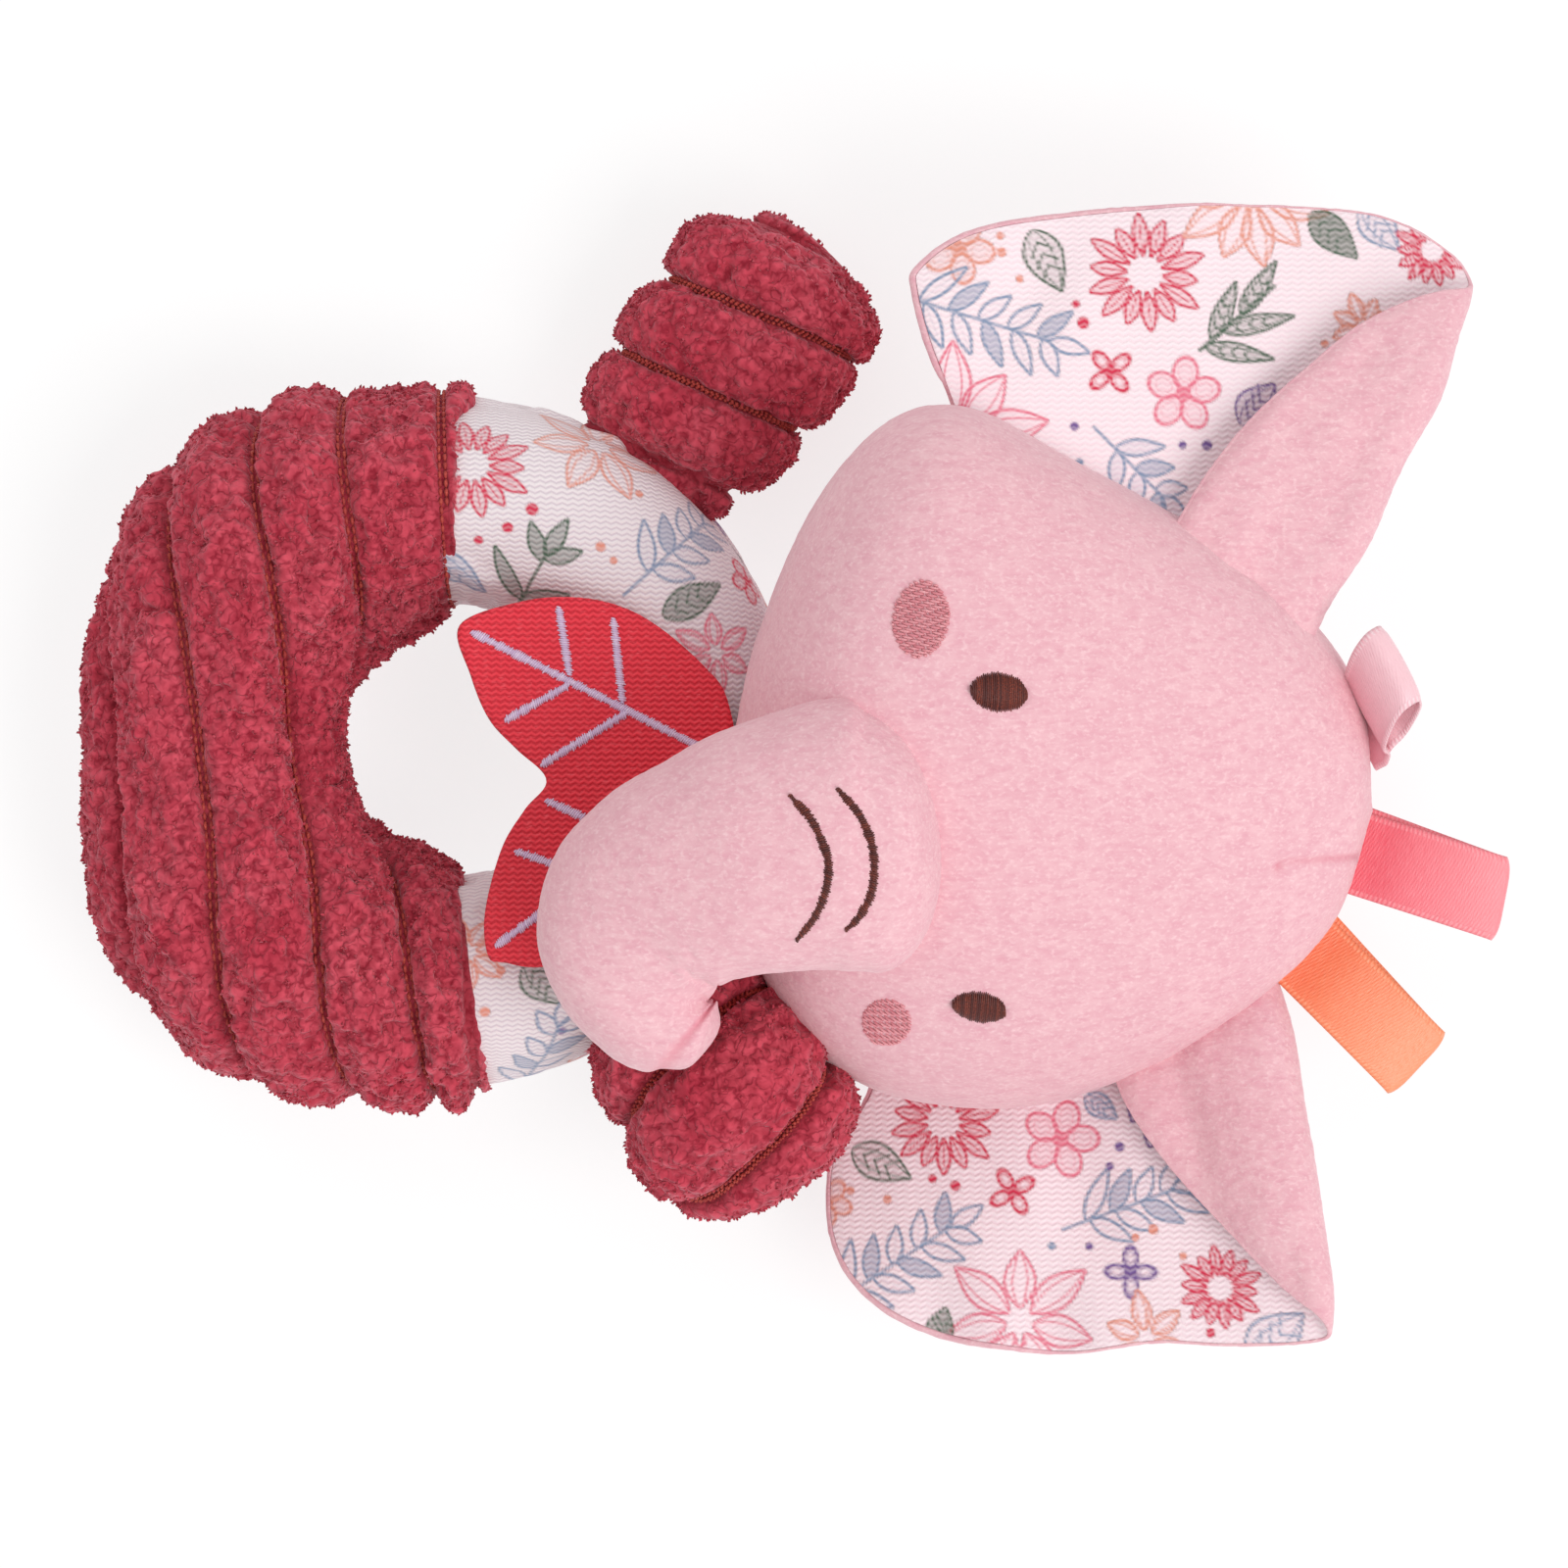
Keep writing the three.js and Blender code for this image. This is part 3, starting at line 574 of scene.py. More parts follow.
def satin_look(name, colour, shade, light):
    """Satin tape: fine threads across it, a smooth shine, a painted highlight towards its fold, and a woven
    edge.
    """
    look = Look(name, roughness=0.38, specular=0.55, sheen=0.2, sheen_roughness=0.3)
    lay = look.attribute("lay")
    across, along = look.plan(lay)
    ribs = look.wave(look.math("MULTIPLY_ADD", across, 0.35, along), 0.42)
    loops = look.wave(along, 0.6)
    fibre = look.noise(look.stretched(lay, 0.5, 5.0, 1.0), 1.2, 3.0)
    edge = look.spread(look.math("ABSOLUTE", across), TAPE / 2 - 0.8, TAPE / 2 - 0.65)
    fold = look.spread(look.away(along, FOLD_AT), 17.0, 3.0)
    body = look.mix(look.spread(fibre, 0.3, 0.7), shade, colour)
    ribbed = look.mix(look.math("MULTIPLY", ribs, 0.12), body, shade)
    # painted highlight: lighter towards the fold of the loop
    with_fold_highlight = look.mix(look.math("MULTIPLY", fold, 0.55), ribbed, light)
    edged = look.mix(look.math("MULTIPLY", edge, 0.55), with_fold_highlight, look.mix(loops, colour, light))
    woven = look.math("MULTIPLY_ADD", ribs, 0.3, fibre)
    height = look.math("MULTIPLY_ADD", look.math("MULTIPLY", edge, loops), 0.7, woven)
    return look.finish(edged, height, 0.07)


def stuffing_look():
    """White fibre filling: a tangle of fine crimped fibres."""
    look = Look("fibre_filling", roughness=1.0, specular=0.1, sheen=0.3)
    at = look.object_mm()
    fibre = look.noise(look.stretched(at, 0.4, 2.4, 1.3), 0.8, 5.0)
    return look.finish(look.mix(fibre, srgb(214, 210, 202), srgb(250, 249, 246)), fibre, 0.5)


def plastic_look(name, low, high):
    """Moulded plastic: faint flow marks and a fine grain."""
    look = Look(name, roughness=0.38, specular=0.5)
    at = look.object_mm()
    flow = look.noise(look.stretched(at, 0.3, 0.3, 1.0), 0.5, 2.0)
    grain = look.noise(at, 6.0, 1.0)
    return look.finish(look.mix(flow, low, high), grain, 0.02)


LOOKS = {
    "sherpa": sherpa_look(),
    "velour": velour_look(),
    # One jersey in two copies: the ring's has greyer gaps between its stitches, partly the knit's own lines
    # and partly painted shade, and the ears' is pinker, with painted pink bounce light.
    "ring_print": print_look("jersey_ring_painted_shade", srgb(243, 234, 235), srgb(219, 204, 212)),
    "ear_print": print_look("jersey_ears_painted_pink_light", srgb(252, 234, 238), srgb(247, 222, 229)),
    "twill": twill_look(),
    # each thread's second colour is a painted highlight
    "brown": thread_look("thread_brown", srgb(72, 18, 12), srgb(148, 62, 40), 0.5),
    "rose": thread_look("thread_rose", srgb(216, 130, 140), srgb(248, 186, 190)),
    "lilac": thread_look("thread_lilac", srgb(214, 188, 220), srgb(246, 232, 248)),
    "rust": thread_look("thread_rust", srgb(160, 44, 42), srgb(212, 90, 70), 0.6),
    "pink_thread": thread_look("thread_pink", srgb(214, 130, 146), srgb(240, 176, 186), 0.6),
    # each satin's third colour is a painted highlight, used towards the fold and on the woven edge's loops
    "pale_pink": satin_look("satin_pale_pink", srgb(242, 180, 190), srgb(234, 160, 174), srgb(252, 226, 230)),
    "coral": satin_look("satin_coral", srgb(248, 122, 134), srgb(240, 92, 108), srgb(254, 166, 172)),
    "orange": satin_look("satin_orange", srgb(248, 134, 90), srgb(240, 106, 62), srgb(254, 172, 130)),
    "stuffing": stuffing_look(),
    "capsule": plastic_look("plastic_capsule", srgb(232, 229, 220), srgb(247, 246, 240)),
    "bead": plastic_look("plastic_bead", srgb(205, 150, 52), srgb(228, 176, 84)),
}


# ---------------------------------------------------------------- the floral print
SOFT_EDGE, LINE = 0.22, 0.42  # softness of the print's edges, and width of its lines
RED, PEACH, PINK = srgb(214, 48, 78), srgb(230, 150, 130), srgb(232, 118, 140)
BLUE, GREEN, PURPLE = srgb(132, 150, 178), srgb(74, 100, 80), srgb(116, 88, 150)


def inked(inside):
    """How much ink a point gets that is this far inside the edge of a printed shape."""
    return np.clip(0.5 + inside / SOFT_EDGE, 0, 1)


def petal_headings(count, turn):
    return [heading(math.radians(turn) + 2 * math.pi * i / count) for i in range(count)]


class Print:
    """Ink on a flat piece of cloth, worked out at each of its points."""

    def __init__(self, flat):
        self.at = flat.reshape(-1, 2)
        self.ink = np.zeros((len(self.at), 4))
        self.shape = flat.shape[:-1]

    def lay(self, near, cover, colour):
        """Prints one shape: near picks the points that it can reach, cover is how much ink each gets."""
        under = self.ink[near, 3]
        total = cover + under * (1 - cover)
        share = (cover / np.maximum(total, 1e-6))[:, None]
        self.ink[near, :3] = self.ink[near, :3] * (1 - share) + np.array(colour) * share
        self.ink[near, 3] = total

    def reach(self, start, end, half):
        """Both ends of a shape, the way between them, its length, and which points the shape can reach."""
        start, end = np.array(start, float), np.array(end, float)
        length = np.hypot(*(end - start))
        near = np.linalg.norm(self.at - (start + end) / 2, axis=1) < length / 2 + half + 1
        return start, end, end - start, length, near

    def dot(self, centre, radius, colour):
        far = np.linalg.norm(self.at - centre, axis=1)
        near = far < radius + 1
        self.lay(near, inked(radius - far[near]), colour)

    def dots(self, table, place):
        for y, x, radius, colour in table:
            self.dot(place(y, x), radius, colour)

    def petal(self, start, end, half, colour, fill=0.15, streak=0.0, blunt=0.8):
        """A petal or leaf in outline, filled in part.

        streak is the strength of a line down its middle. At 1 that line is a second outline instead.
        """
        start, end, axis, length, near = self.reach(start, end, half)
        axis = axis / length
        p = self.at[near] - start
        t = p @ axis / length
        side = np.abs(p @ left_of(axis))
        width = half * np.sin(math.pi * np.clip(t, 0, 1) ** blunt)
        outline = inked(LINE / 2 - np.abs(side - width))
        inside = inked(width - side) * fill
        if streak == 1:
            middle = inked(LINE / 3 - np.abs(side - width * 0.5)) * 0.85
        else:
            middle = inked(LINE / 3 - side) * (t < 0.75) * streak
        ends = inked(np.minimum(t, 1 - t) * length)
        self.lay(near, np.maximum(np.maximum(outline, inside), middle) * ends, colour)

    def round_petal(self, start, end, half, colour, fill):
        """An oval petal: an outline, a fainter one inside it, and a light fill."""
        start, end, axis, length, near = self.reach(start, end, half)
        p = self.at[near] - (start + end) / 2
        away = np.hypot(p @ axis / length / (length / 2), p @ left_of(axis) / length / half)
        size = min(length / 2, half)
        outline = inked(LINE / 2 - np.abs(away - 1) * size)
        second = inked(LINE / 3 - np.abs(away - 0.55) * size) * 0.5
        inside = inked((1 - away) * size) * fill
        self.lay(near, np.maximum(np.maximum(outline, inside), second), colour)

    def stem(self, start, end, colour, width=LINE):
        start, end, d, _, near = self.reach(start, end, 0)
        p = self.at[near] - start
        t = np.clip(p @ d / (d @ d), 0, 1)
        away = np.linalg.norm(p - t[:, None] * d, axis=1)
        self.lay(near, inked(width / 2 - away) * 0.9, colour)

    def flower(self, centre, radius, petals, colour, inner, half, fill, streak, blunt, turn):
        for i, d in enumerate(petal_headings(petals, turn)):
            start, end = centre + d * radius * inner, centre + d * (radius * (1 + 0.09 * math.sin(3.7 * i)))
            self.petal(start, end, radius * half, colour, fill, streak, blunt)

    def daisy(self, centre, radius, turn=0):
        self.flower(np.array(centre), radius, 14, RED, 0.29, 0.12, 0.3, 0.9, 1.1, turn)

    def star(self, centre, radius, colour, petals=7, turn=0):
        self.flower(np.array(centre), radius, petals, colour, 0.16, 0.2, 0.06, 1.0, 0.9, turn)

    def blossom(self, centre, radius, colour=PINK, petals=5, turn=0, half=0.33, fill=0.22):
        for d in petal_headings(petals, turn):
            self.round_petal(centre + d * radius * 0.16, centre + d * radius, radius * half, colour, fill)
        self.dot(centre, radius * 0.13, colour)

    def clover(self, centre, radius, colour, turn=45):
        self.blossom(np.array(centre), radius, colour, 4, turn, 0.27, 0.05)

    def sprig(self, base, tip, colour, pairs=4, leaf=5.0, half=0.9, fill=0.05, spread=42, bare=0.25):
        """A stem with pairs of leaves and one at its end."""
        base, tip = np.array(base, float), np.array(tip, float)
        self.stem(base, tip, colour)
        ahead = math.atan2(*(tip - base)[::-1])
        for i in range(pairs):
            share = bare + (0.95 - bare) * i / max(pairs - 1, 1)
            for sign in (-1, 1):
                a = ahead + sign * math.radians(spread)
                at = base + (tip - base) * (share - 0.04 * (sign > 0))
                reach = leaf * (1 - 0.3 * share) * (1 + 0.12 * math.sin(5 * i + sign))
                filled = 0.6 if (i + (sign > 0)) % 3 == 2 else fill
                self.petal(at, at + reach * heading(a), half, colour, filled, 0.2)
        self.petal(tip, tip + heading(ahead) * leaf * 0.75, half, colour, fill, 0.2)

    def leaf(self, base, tip, half, colour=GREEN, fill=0.3):
        base, tip = np.array(base, float), np.array(tip, float)
        self.petal(base, tip, half, colour, fill, 1.0, 0.75)
        d = (tip - base) / np.hypot(*(tip - base))
        side = left_of(d)
        for share in (0.2, 0.38, 0.56):
            at = base + (tip - base) * share
            for sign in (-1, 1):
                self.stem(at, at + (d + sign * side) * half * 0.62, colour, LINE * 0.7)

    def scattered(self, low, high, pitch, seed):
        """Motifs strewn over a piece that has no pattern of its own to follow."""
        rng = np.random.default_rng(seed)
        kinds = [
            lambda c, a: self.daisy(c, 4.6, a),
            lambda c, a: self.star(c, 5.4, PEACH, 6, a),
            lambda c, a: self.sprig(c, c + 7 * heading(a), BLUE),
            lambda c, a: self.leaf(c, c + 7 * heading(a), 1.7),
            lambda c, a: self.blossom(c, 3.6, PINK, 5, a),
            lambda c, a: self.sprig(c, c + 6 * heading(a), GREEN, 2, 5, 1.0, 0.3),
            lambda c, a: self.clover(c, 2.3, PURPLE, a),
            lambda c, a: self.clover(c, 2.3, RED, a),
        ]
        for i, x in enumerate(np.arange(low[0], high[0], pitch)):
            for j, y in enumerate(np.arange(low[1], high[1], pitch)):
                centre = np.array([x, y + pitch / 2 * (i % 2)]) + rng.uniform(-1.5, 1.5, 2)
                kinds[(3 * i + 5 * j) % len(kinds)](centre, rng.uniform(0, 6.28))
                self.dot(centre + rng.uniform(4, 6, 2), 0.6, (RED, PEACH, PURPLE)[(i + j) % 3])

    def result(self):
        return self.ink.reshape(*self.shape, 4)


# ---------------------------------------------------------------- embroidery and stitching
def threads(name, starts, ends, ups, look, radius=0.17, lift=0.25, steps=5, sides=5):
    """Many short stitches, each a strand that arches from start to end and dives in at both."""
    starts, ends, ups = (np.vstack(x) for x in (starts, ends, ups))
    run = ends - starts
    side = np.cross(run, ups)
    side /= np.maximum(np.linalg.norm(side, axis=1, keepdims=True), 1e-9)
    t = np.linspace(0, 1, steps)
    arch = np.sin(math.pi * t) ** 0.6
    rise = (lift * arch - 0.1)[None, :, None]
    middle = starts[:, None] + run[:, None] * t[None, :, None] + ups[:, None] * rise
    thick = radius * (0.35 + 0.65 * arch)
    angle = 2 * math.pi * np.arange(sides) / sides
    ring = np.cos(angle)[:, None] * side[:, None, None] + np.sin(angle)[:, None] * ups[:, None, None]
    points = middle[:, :, None] + ring * thick[None, :, None, None]
    one = grid_faces(steps, sides, (False, True))
    faces = (one[None] + (np.arange(len(starts)) * steps * sides)[:, None, None]).reshape(-1, 4)
    rng = np.random.default_rng(len(starts))
    tone = np.repeat(rng.uniform(0, 1, len(starts)), steps * sides)
    flat = points.reshape(-1, 3)
    return mesh_object(name, flat, faces, look, lay=flat, pit=tone)


ABOVE_ALL = 120.0


def on_surface(tree, points):
    """Drops points (x, y) on a skin from above, and returns where they land and which way it faces."""
    hits, facing = [], []
    for x, y in points:
        hit, normal, _, _ = tree.ray_cast(Vector((x, y, ABOVE_ALL)), Vector((0, 0, -1)))
        hits.append(hit if hit else Vector((x, y, 0)))
        facing.append(normal if normal and normal.z > 0 else Vector((0, 0, 1)))
    return np.array(hits), np.array(facing)


def satin_line(name, line, width, tree, look, taper=0.8, pitch=0.27, seed=1):
    """A line of close satin stitches across a path (x, y) on a skin, narrower towards its ends."""
    rng = np.random.default_rng(seed)
    length = np.linalg.norm(np.diff(line, axis=0), axis=1).sum()
    path = smooth_line(line, max(int(length / pitch), 3))
    ahead = unit(np.gradient(path, axis=0))
    side = left_of(ahead)
    from_end = np.minimum(np.arange(len(path)), np.arange(len(path))[::-1]) * pitch
    narrowed = np.sqrt(np.clip(from_end / taper, 0.25, 1))
    half = (width / 2 * narrowed * rng.uniform(0.72, 1.26, len(path)))[:, None]
    skew = ahead * 0.16
    a, up_a = on_surface(tree, path - side * half - skew)
    b, up_b = on_surface(tree, path + side * half + skew)
    return threads(name, a, b, (up_a + up_b) / 2, look, radius=0.17, lift=0.34)


def grid_tree(grid, wrap):
    faces = grid_faces(*grid.shape[:2], wrap)
    return BVHTree.FromPolygons(grid.reshape(-1, 3).tolist(), faces.tolist())


def tufts(name, grid, facing, puff, count, seed):
    """Curly ends of pile that stand out of a plush skin, more on its ribs and where it is seen edge on."""
    keep = np.clip(1.15 - np.abs(facing[..., 2]), 0.05, 1) * np.clip(puff, 0.05, 1)
    rng = np.random.default_rng(seed)
    pick = rng.choice(keep.size, count, p=keep.ravel() / keep.sum())
    base, up = grid.reshape(-1, 3)[pick], facing.reshape(-1, 3)[pick]
    lean = rng.normal(size=(count, 3))
    lean -= (lean * up).sum(1, keepdims=True) * up
    lean = unit(lean)
    curl = np.cross(up, lean) * rng.choice([-1, 1], count)[:, None]
    long = CURL * rng.uniform(0.6, 1.25, count)[:, None]
    foot, middle = base - up * 0.3, base + (up * 0.55 + lean * 0.25) * long
    tip = base + (up * 0.85 + lean * 0.55 + curl * 0.4) * long
    angle = 2 * math.pi * np.arange(3)[:, None] / 3
    across = np.cos(angle) * lean[:, None] + np.sin(angle) * curl[:, None]
    flat = np.concatenate([foot[:, None] + 0.24 * across, middle[:, None] + 0.17 * across, tip[:, None]], 1)
    one = [[0, 1, 4], [0, 4, 3], [1, 2, 5], [1, 5, 4], [2, 0, 3], [2, 3, 5], [3, 4, 6], [4, 5, 6], [5, 3, 6]]
    faces = (np.array(one)[None] + (np.arange(count) * 7)[:, None, None]).reshape(-1, 3)
    tone = np.repeat(rng.uniform(0, 0.15, count), 7)
    flat = flat.reshape(-1, 3)
    piece = mesh_object(name, flat, faces, LOOKS["sherpa"], lay=flat, pit=tone)
    piece.data.shade_flat()
    return piece


def dress(piece, slot, *nodes, fill=None):
    """The piece stands for CAD nodes, which are hidden. fill is not used."""
    if nodes:
        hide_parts(*nodes)


def own(piece, body, slot, *nodes, fill=None):
    """The piece rides on one body."""
    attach(piece, body)
    dress(piece, slot, *nodes, fill=fill)


def sewn(piece, body, start, end):
    """Bakes the piece's transform into its points. body, start and end are not used."""
    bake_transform(piece)


def thicken(piece, thickness, offset):
    made = piece.modifiers.new("thickness", "SOLIDIFY")
    made.thickness = thickness * MM
    made.offset = offset


# ---------------------------------------------------------------- ring
def on_ring(around, tube, radius):
    """A point on the ring's tube. around is from +X, tube is from the outer side over the top."""
    out = RING_R + radius * np.cos(tube)
    return np.stack([out * np.cos(around), out * np.sin(around), RING_Z + radius * np.sin(tube)], -1)


def ring_flat(around, tube):
    """Where a point of the tube lies on the flat ring-shaped panel that it was cut as."""
    out = RING_R + PANEL_R * (math.pi / 2 - tube)
    return np.stack([out * np.cos(around), out * np.sin(around)], -1)


def ring_flat_at(y, x):
    """The same for a point seen from above."""
    out = math.hypot(x, y)
    tube = math.acos(max(-1.0, min(1.0, (out - RING_R) / PRINT_R)))
    return ring_flat(math.atan2(y, x), tube)


def rib_at(flat):
    """How far a point of the flat ring panel is from its nearest groove, and half the width of its rib."""
    past = np.stack([flat[..., 1] - at - slope * flat[..., 0] for at, slope in GROOVES], -1)
    before = np.where(past > 0, past, 99).min(-1)
    after = np.where(past <= 0, -past, 99).min(-1)
    return np.minimum(before, after), np.clip((before + after) / 2, 1, 6)


def rib_puff(away, half):
    """Height of a rib, from 0 in its grooves to 1 on its crest."""
    return rounded((away - GROOVE_HALF) / (half - GROOVE_HALF))


def seam_dip(tube):
    """How far a skin dips at the seams on the ring's outer and inner sides."""
    return 0.7 * bell(np.sin(tube), 0.16)


def back_angles(u, v):
    return v * 2 * math.pi, math.pi + u * math.pi


def front_angles(u, v):
    return -PRINT_LAP + v * (math.pi + 2 * PRINT_LAP), u * math.pi


def build_ring_prints():
    def back(u, v):
        around, tube = back_angles(u, v)
        p = on_ring(around, tube, BACK_R - seam_dip(tube))
        p[..., 2] = np.maximum(p[..., 2], FLAT_RISE + 0.15)
        return p

    def back_held(u, v):
        return ((u < 0.02) | (u > 0.98)).astype(float)

    def front(u, v):
        around, tube = front_angles(u, v)
        return on_ring(around, tube, PRINT_R - seam_dip(tube) + 0.1 * noise_ring(around, tube))

    def front_held(u, v):
        return ((u < 0.02) | (u > 0.98) | (v < 0.01) | (v > 0.99)).astype(float)

    grid, (u, v) = stuffed(back, 18, 120, 5, (False, True), back_held, 0.7)
    grid[..., 2] = np.maximum(grid[..., 2], FLAT_RISE + 0.05)
    around, tube = back_angles(u, v)
    flat = ring_flat(around, math.pi * 2 - tube)
    ink = Print(flat)
    ink.scattered((-54, -54), (54, 54), 11.5, 5)
    ring_print("ring_back", grid, (False, True), flat, ink.result())

    grid, (u, v) = stuffed(front, 26, 61, 8, (False, False), front_held, 0.6)
    flat = ring_flat(*front_angles(u, v))
    ring_print("ring_front", grid[::-1], (False, False), flat[::-1], ring_motifs(flat)[::-1])


def ring_print(name, grid, wrap, flat, ink):
    piece = grid_object(name, grid, wrap, LOOKS["ring_print"], lay=level(flat), ink=ink)
    own(piece, ROOT, "ring_print", name + "_print", fill=0.75)


def noise_ring(around, tube):
    return noise(np.stack([around * 6, tube * 3, around * 0], -1), 1.0, 3)


def ring_motifs(flat):
    ink = Print(flat)
    at = ring_flat_at
    ink.daisy(at(3.0, -33.9), 7.2, 10)
    ink.star(at(18.4, -36.6), 9.4, PEACH, 7, 20)
    ink.dots([
        (10.4, -28.4, 0.8, RED), (7.4, -26.2, 0.7, RED), (3.8, -24.7, 0.6, RED),
        (18.8, -23.8, 0.65, PEACH), (20.4, -22.1, 0.5, PEACH), (23.5, -30.4, 0.6, PEACH),
        (4.6, 33.5, 0.7, PEACH), (6.6, 28.4, 0.6, PEACH), (14, 36, 0.6, PURPLE),
    ], at)
    ink.sprig(at(8.5, -17.3), at(12.0, -22.6), GREEN, 2, 8.0, 1, 0.55, 44, 0.1)
    ink.sprig(at(21.6, -17.8), at(31.6, -27.0), BLUE, 4, 7.1, 1.1, 0.12, 50, 0.3)
    ink.leaf(at(26.4, -15.2), at(33.5, -19.3), 1.9, GREEN, 0.6)
    ink.leaf(at(-2.6, -23.6), at(4.4, -18.8), 2.0, BLUE, 0.35)
    ink.star(at(33.0, -10.8), 5.6, PINK, 6, 5)
    ink.blossom(at(36.8, -19.8), 3.4, RED)
    ink.leaf(at(9.6, 27.4), at(14.2, 32.6), 2.5, GREEN, 0.35)
    ink.sprig(at(8.6, 42.6), at(13.6, 35.4), BLUE, 4, 6.9, 1.1, 0.08, 48, 0.1)
    ink.star(at(2.6, 26.2), 5.6, PEACH, 7, 0)
    ink.blossom(at(16.5, 24.0), 3.4, RED)
    ink.sprig(at(20.5, 36.0), at(24.0, 30.0), GREEN, 2, 5.4, 0.8, 0.3)
    ink.daisy(at(20.0, 41.0), 4.6, 4)
    ink.sprig(at(2.6, -16.6), at(6.4, -15.4), BLUE, 2, 4.3, 0.8, 0.4)
    ink.star(at(30.0, 22.0), 6.0, PINK, 6, 30)
    ink.daisy(at(38.0, 8.0), 5.0, 0)
    return ink.result()


def plush_ends(tube):
    """Angles round the ring between which the plush panel runs, at its edge across the tube."""
    out = RING_R + PLUSH_R * np.cos(tube)
    right_edge = np.arcsin(np.clip((0.7 + 2.4 * bell(tube - 0.3, 0.25)) / out, -1, 1))
    left_edge = np.arcsin(np.clip((2.9 + 1.6 * np.cos(tube)) / out, -1, 1))
    return -math.pi - right_edge, left_edge


def sleeve_angles(u, v):
    tube = -PLUSH_LAP + u * (math.pi + 2 * PLUSH_LAP)
    low, high = plush_ends(tube)
    return low + v * (high - low), tube


def plush_radius(around, tube):
    """Tube radius at the bottom of a groove: the plush is fuller at two corners and inside the bend."""
    outer, inner = (1 + np.cos(tube)) / 2, (1 - np.cos(tube)) / 2
    corners = np.sin(2 * around) ** 2 * np.where(np.cos(around) > 0, *CORNER_FULL) * (np.sin(around) < 0)
    bend = BEND_FULL * np.clip(-np.sin(around), 0, 1) ** 2
    return PLUSH_R + corners * outer + bend * inner


def crest_height(around, tube):
    """How far a rib's crest stands above its grooves: less beside the print, on the outer side."""
    from_print = np.degrees(np.arccos(np.clip(-np.cos(around), -1, 1)))
    return RIB_PUFF - PILE_FALL * bell(from_print - 8, 14) * (1 + np.cos(tube)) / 2


def build_sleeve():
    wrap = (False, False)

    def shape(u, v):
        around, tube = sleeve_angles(u, v)
        out = RING_R + PLUSH_R * np.cos(tube)
        low, high = plush_ends(tube)
        from_end = np.minimum(around - low, high - around) * out
        from_side = np.minimum(u, 1 - u) * PLUSH_R * math.pi
        under = PRINT_R - 0.8  # its edges tuck in under the print's skin
        rib = rib_puff(*rib_at(ring_flat(around, tube)))
        full = plush_radius(around, tube) + crest_height(around, tube) * rib
        shoulder, sides = rounded(from_end / 1.8), rounded(from_side / 2.4)
        return on_ring(around, tube, under + (full - under) * shoulder * sides)

    def held(u, v):
        away, _ = rib_at(ring_flat(*sleeve_angles(u, v)))
        return ((away < 0.7) | (u < 0.02) | (u > 0.98) | (v < 0.01) | (v > 0.99)).astype(float)

    grid, (u, v) = stuffed(shape, 35, 106, 5, wrap, held, 0.7, 0.05)
    puff = rib_puff(*rib_at(ring_flat(*sleeve_angles(u, v))))
    facing = -normals(grid, wrap)
    fluffed, pit = fluff(grid, facing, puff, 11)
    piece = grid_object("ring_sleeve", fluffed[::-1], wrap, LOOKS["sherpa"], lay=grid[::-1], pit=pit[::-1])
    own(piece, ROOT, "ribbed_plush", "ring_front_plush", fill=0.8)
    own(tufts("ring_sleeve_curls", fluffed, facing, puff, 7000, 21), ROOT, "ribbed_plush")
    build_groove_stitches()


def fluff(grid, facing, puff, seed):
    """Raises the clumps of sherpa pile on a skin, less where it is stitched down, and gives the painted shade
    for the pits between clumps and for the grooves.
    """
    pile = np.clip(puff * 1.5, 0.1, 1)
    height = pile * (0.85 * clumps(grid, 2.3, seed) + 0.6 * clumps(grid, 1.3, seed + 1) - 0.5)
    # painted shade: in the pits between the clumps, and more in the stitched grooves
    pit = np.clip(0.2 - height / 1.5, 0, 0.28) + 0.7 * np.clip(0.5 - puff, 0, 0.5)
    return grid + facing * height[..., None], pit


def build_groove_stitches():
    """Two rows of thread along each groove of the sleeve."""
    starts, ends, ups = [], [], []
    reach, count = 52, 90
    for at, slope in GROOVES[1:-1]:
        for offset in (-0.36, 0.36):
            x = np.linspace(-reach, reach, count)
            flat = np.stack([x, at + offset + slope * x], -1)
            out = np.hypot(flat[:, 0], flat[:, 1])
            tube = math.pi / 2 - (out - RING_R) / PANEL_R
            around = np.arctan2(flat[:, 1], flat[:, 0])
            around = np.where(around > math.pi / 2, around - 2 * math.pi, around)
            low, high = plush_ends(np.clip(tube, 0, math.pi))
            fine = (tube > 0.05) & (tube < math.pi - 0.05) & (around > low + 0.03) & (around < high - 0.06)
            p = on_ring(around, tube, plush_radius(around, tube) + 0.1)
            up = on_ring(around, tube, plush_radius(around, tube) + 1.1) - p
            both = fine[:-1] & fine[1:]
            starts.append(p[:-1][both])
            ends.append((p[:-1] + (p[1:] - p[:-1]) * 0.94)[both])
            ups.append(up[:-1][both])
    stitches = threads("ring_groove_stitches", starts, ends, ups, LOOKS["rust"], radius=0.26, lift=0.3)
    own(stitches, ROOT, "ribbed_plush")


# ---------------------------------------------------------------- head
HEAD_TURN = turned("z", HEAD_ROLL) @ turned("y", HEAD_YAW)


def from_head(points):
    return HEAD_AT + np.asarray(points) @ HEAD_TURN.T


def off_ring(points, clear):
    """Presses points that are inside the ring's tube out to its surface."""
    out = np.hypot(points[..., 0], points[..., 1])
    middle = points * 1.0
    scale = RING_R / np.maximum(out, 1e-6)
    middle[..., 0] *= scale
    middle[..., 1] *= scale
    middle[..., 2] = RING_Z
    away = points - middle
    far = np.linalg.norm(away, axis=-1, keepdims=True)
    push = np.clip(clear - far, 0, None)
    return points + away / np.maximum(far, 1e-6) * push


HEAD_ROWS, HEAD_COLS = 46, 96
HEAD_SEAM = 5 / 96  # the side seams lie this share of a turn behind the head's widest line


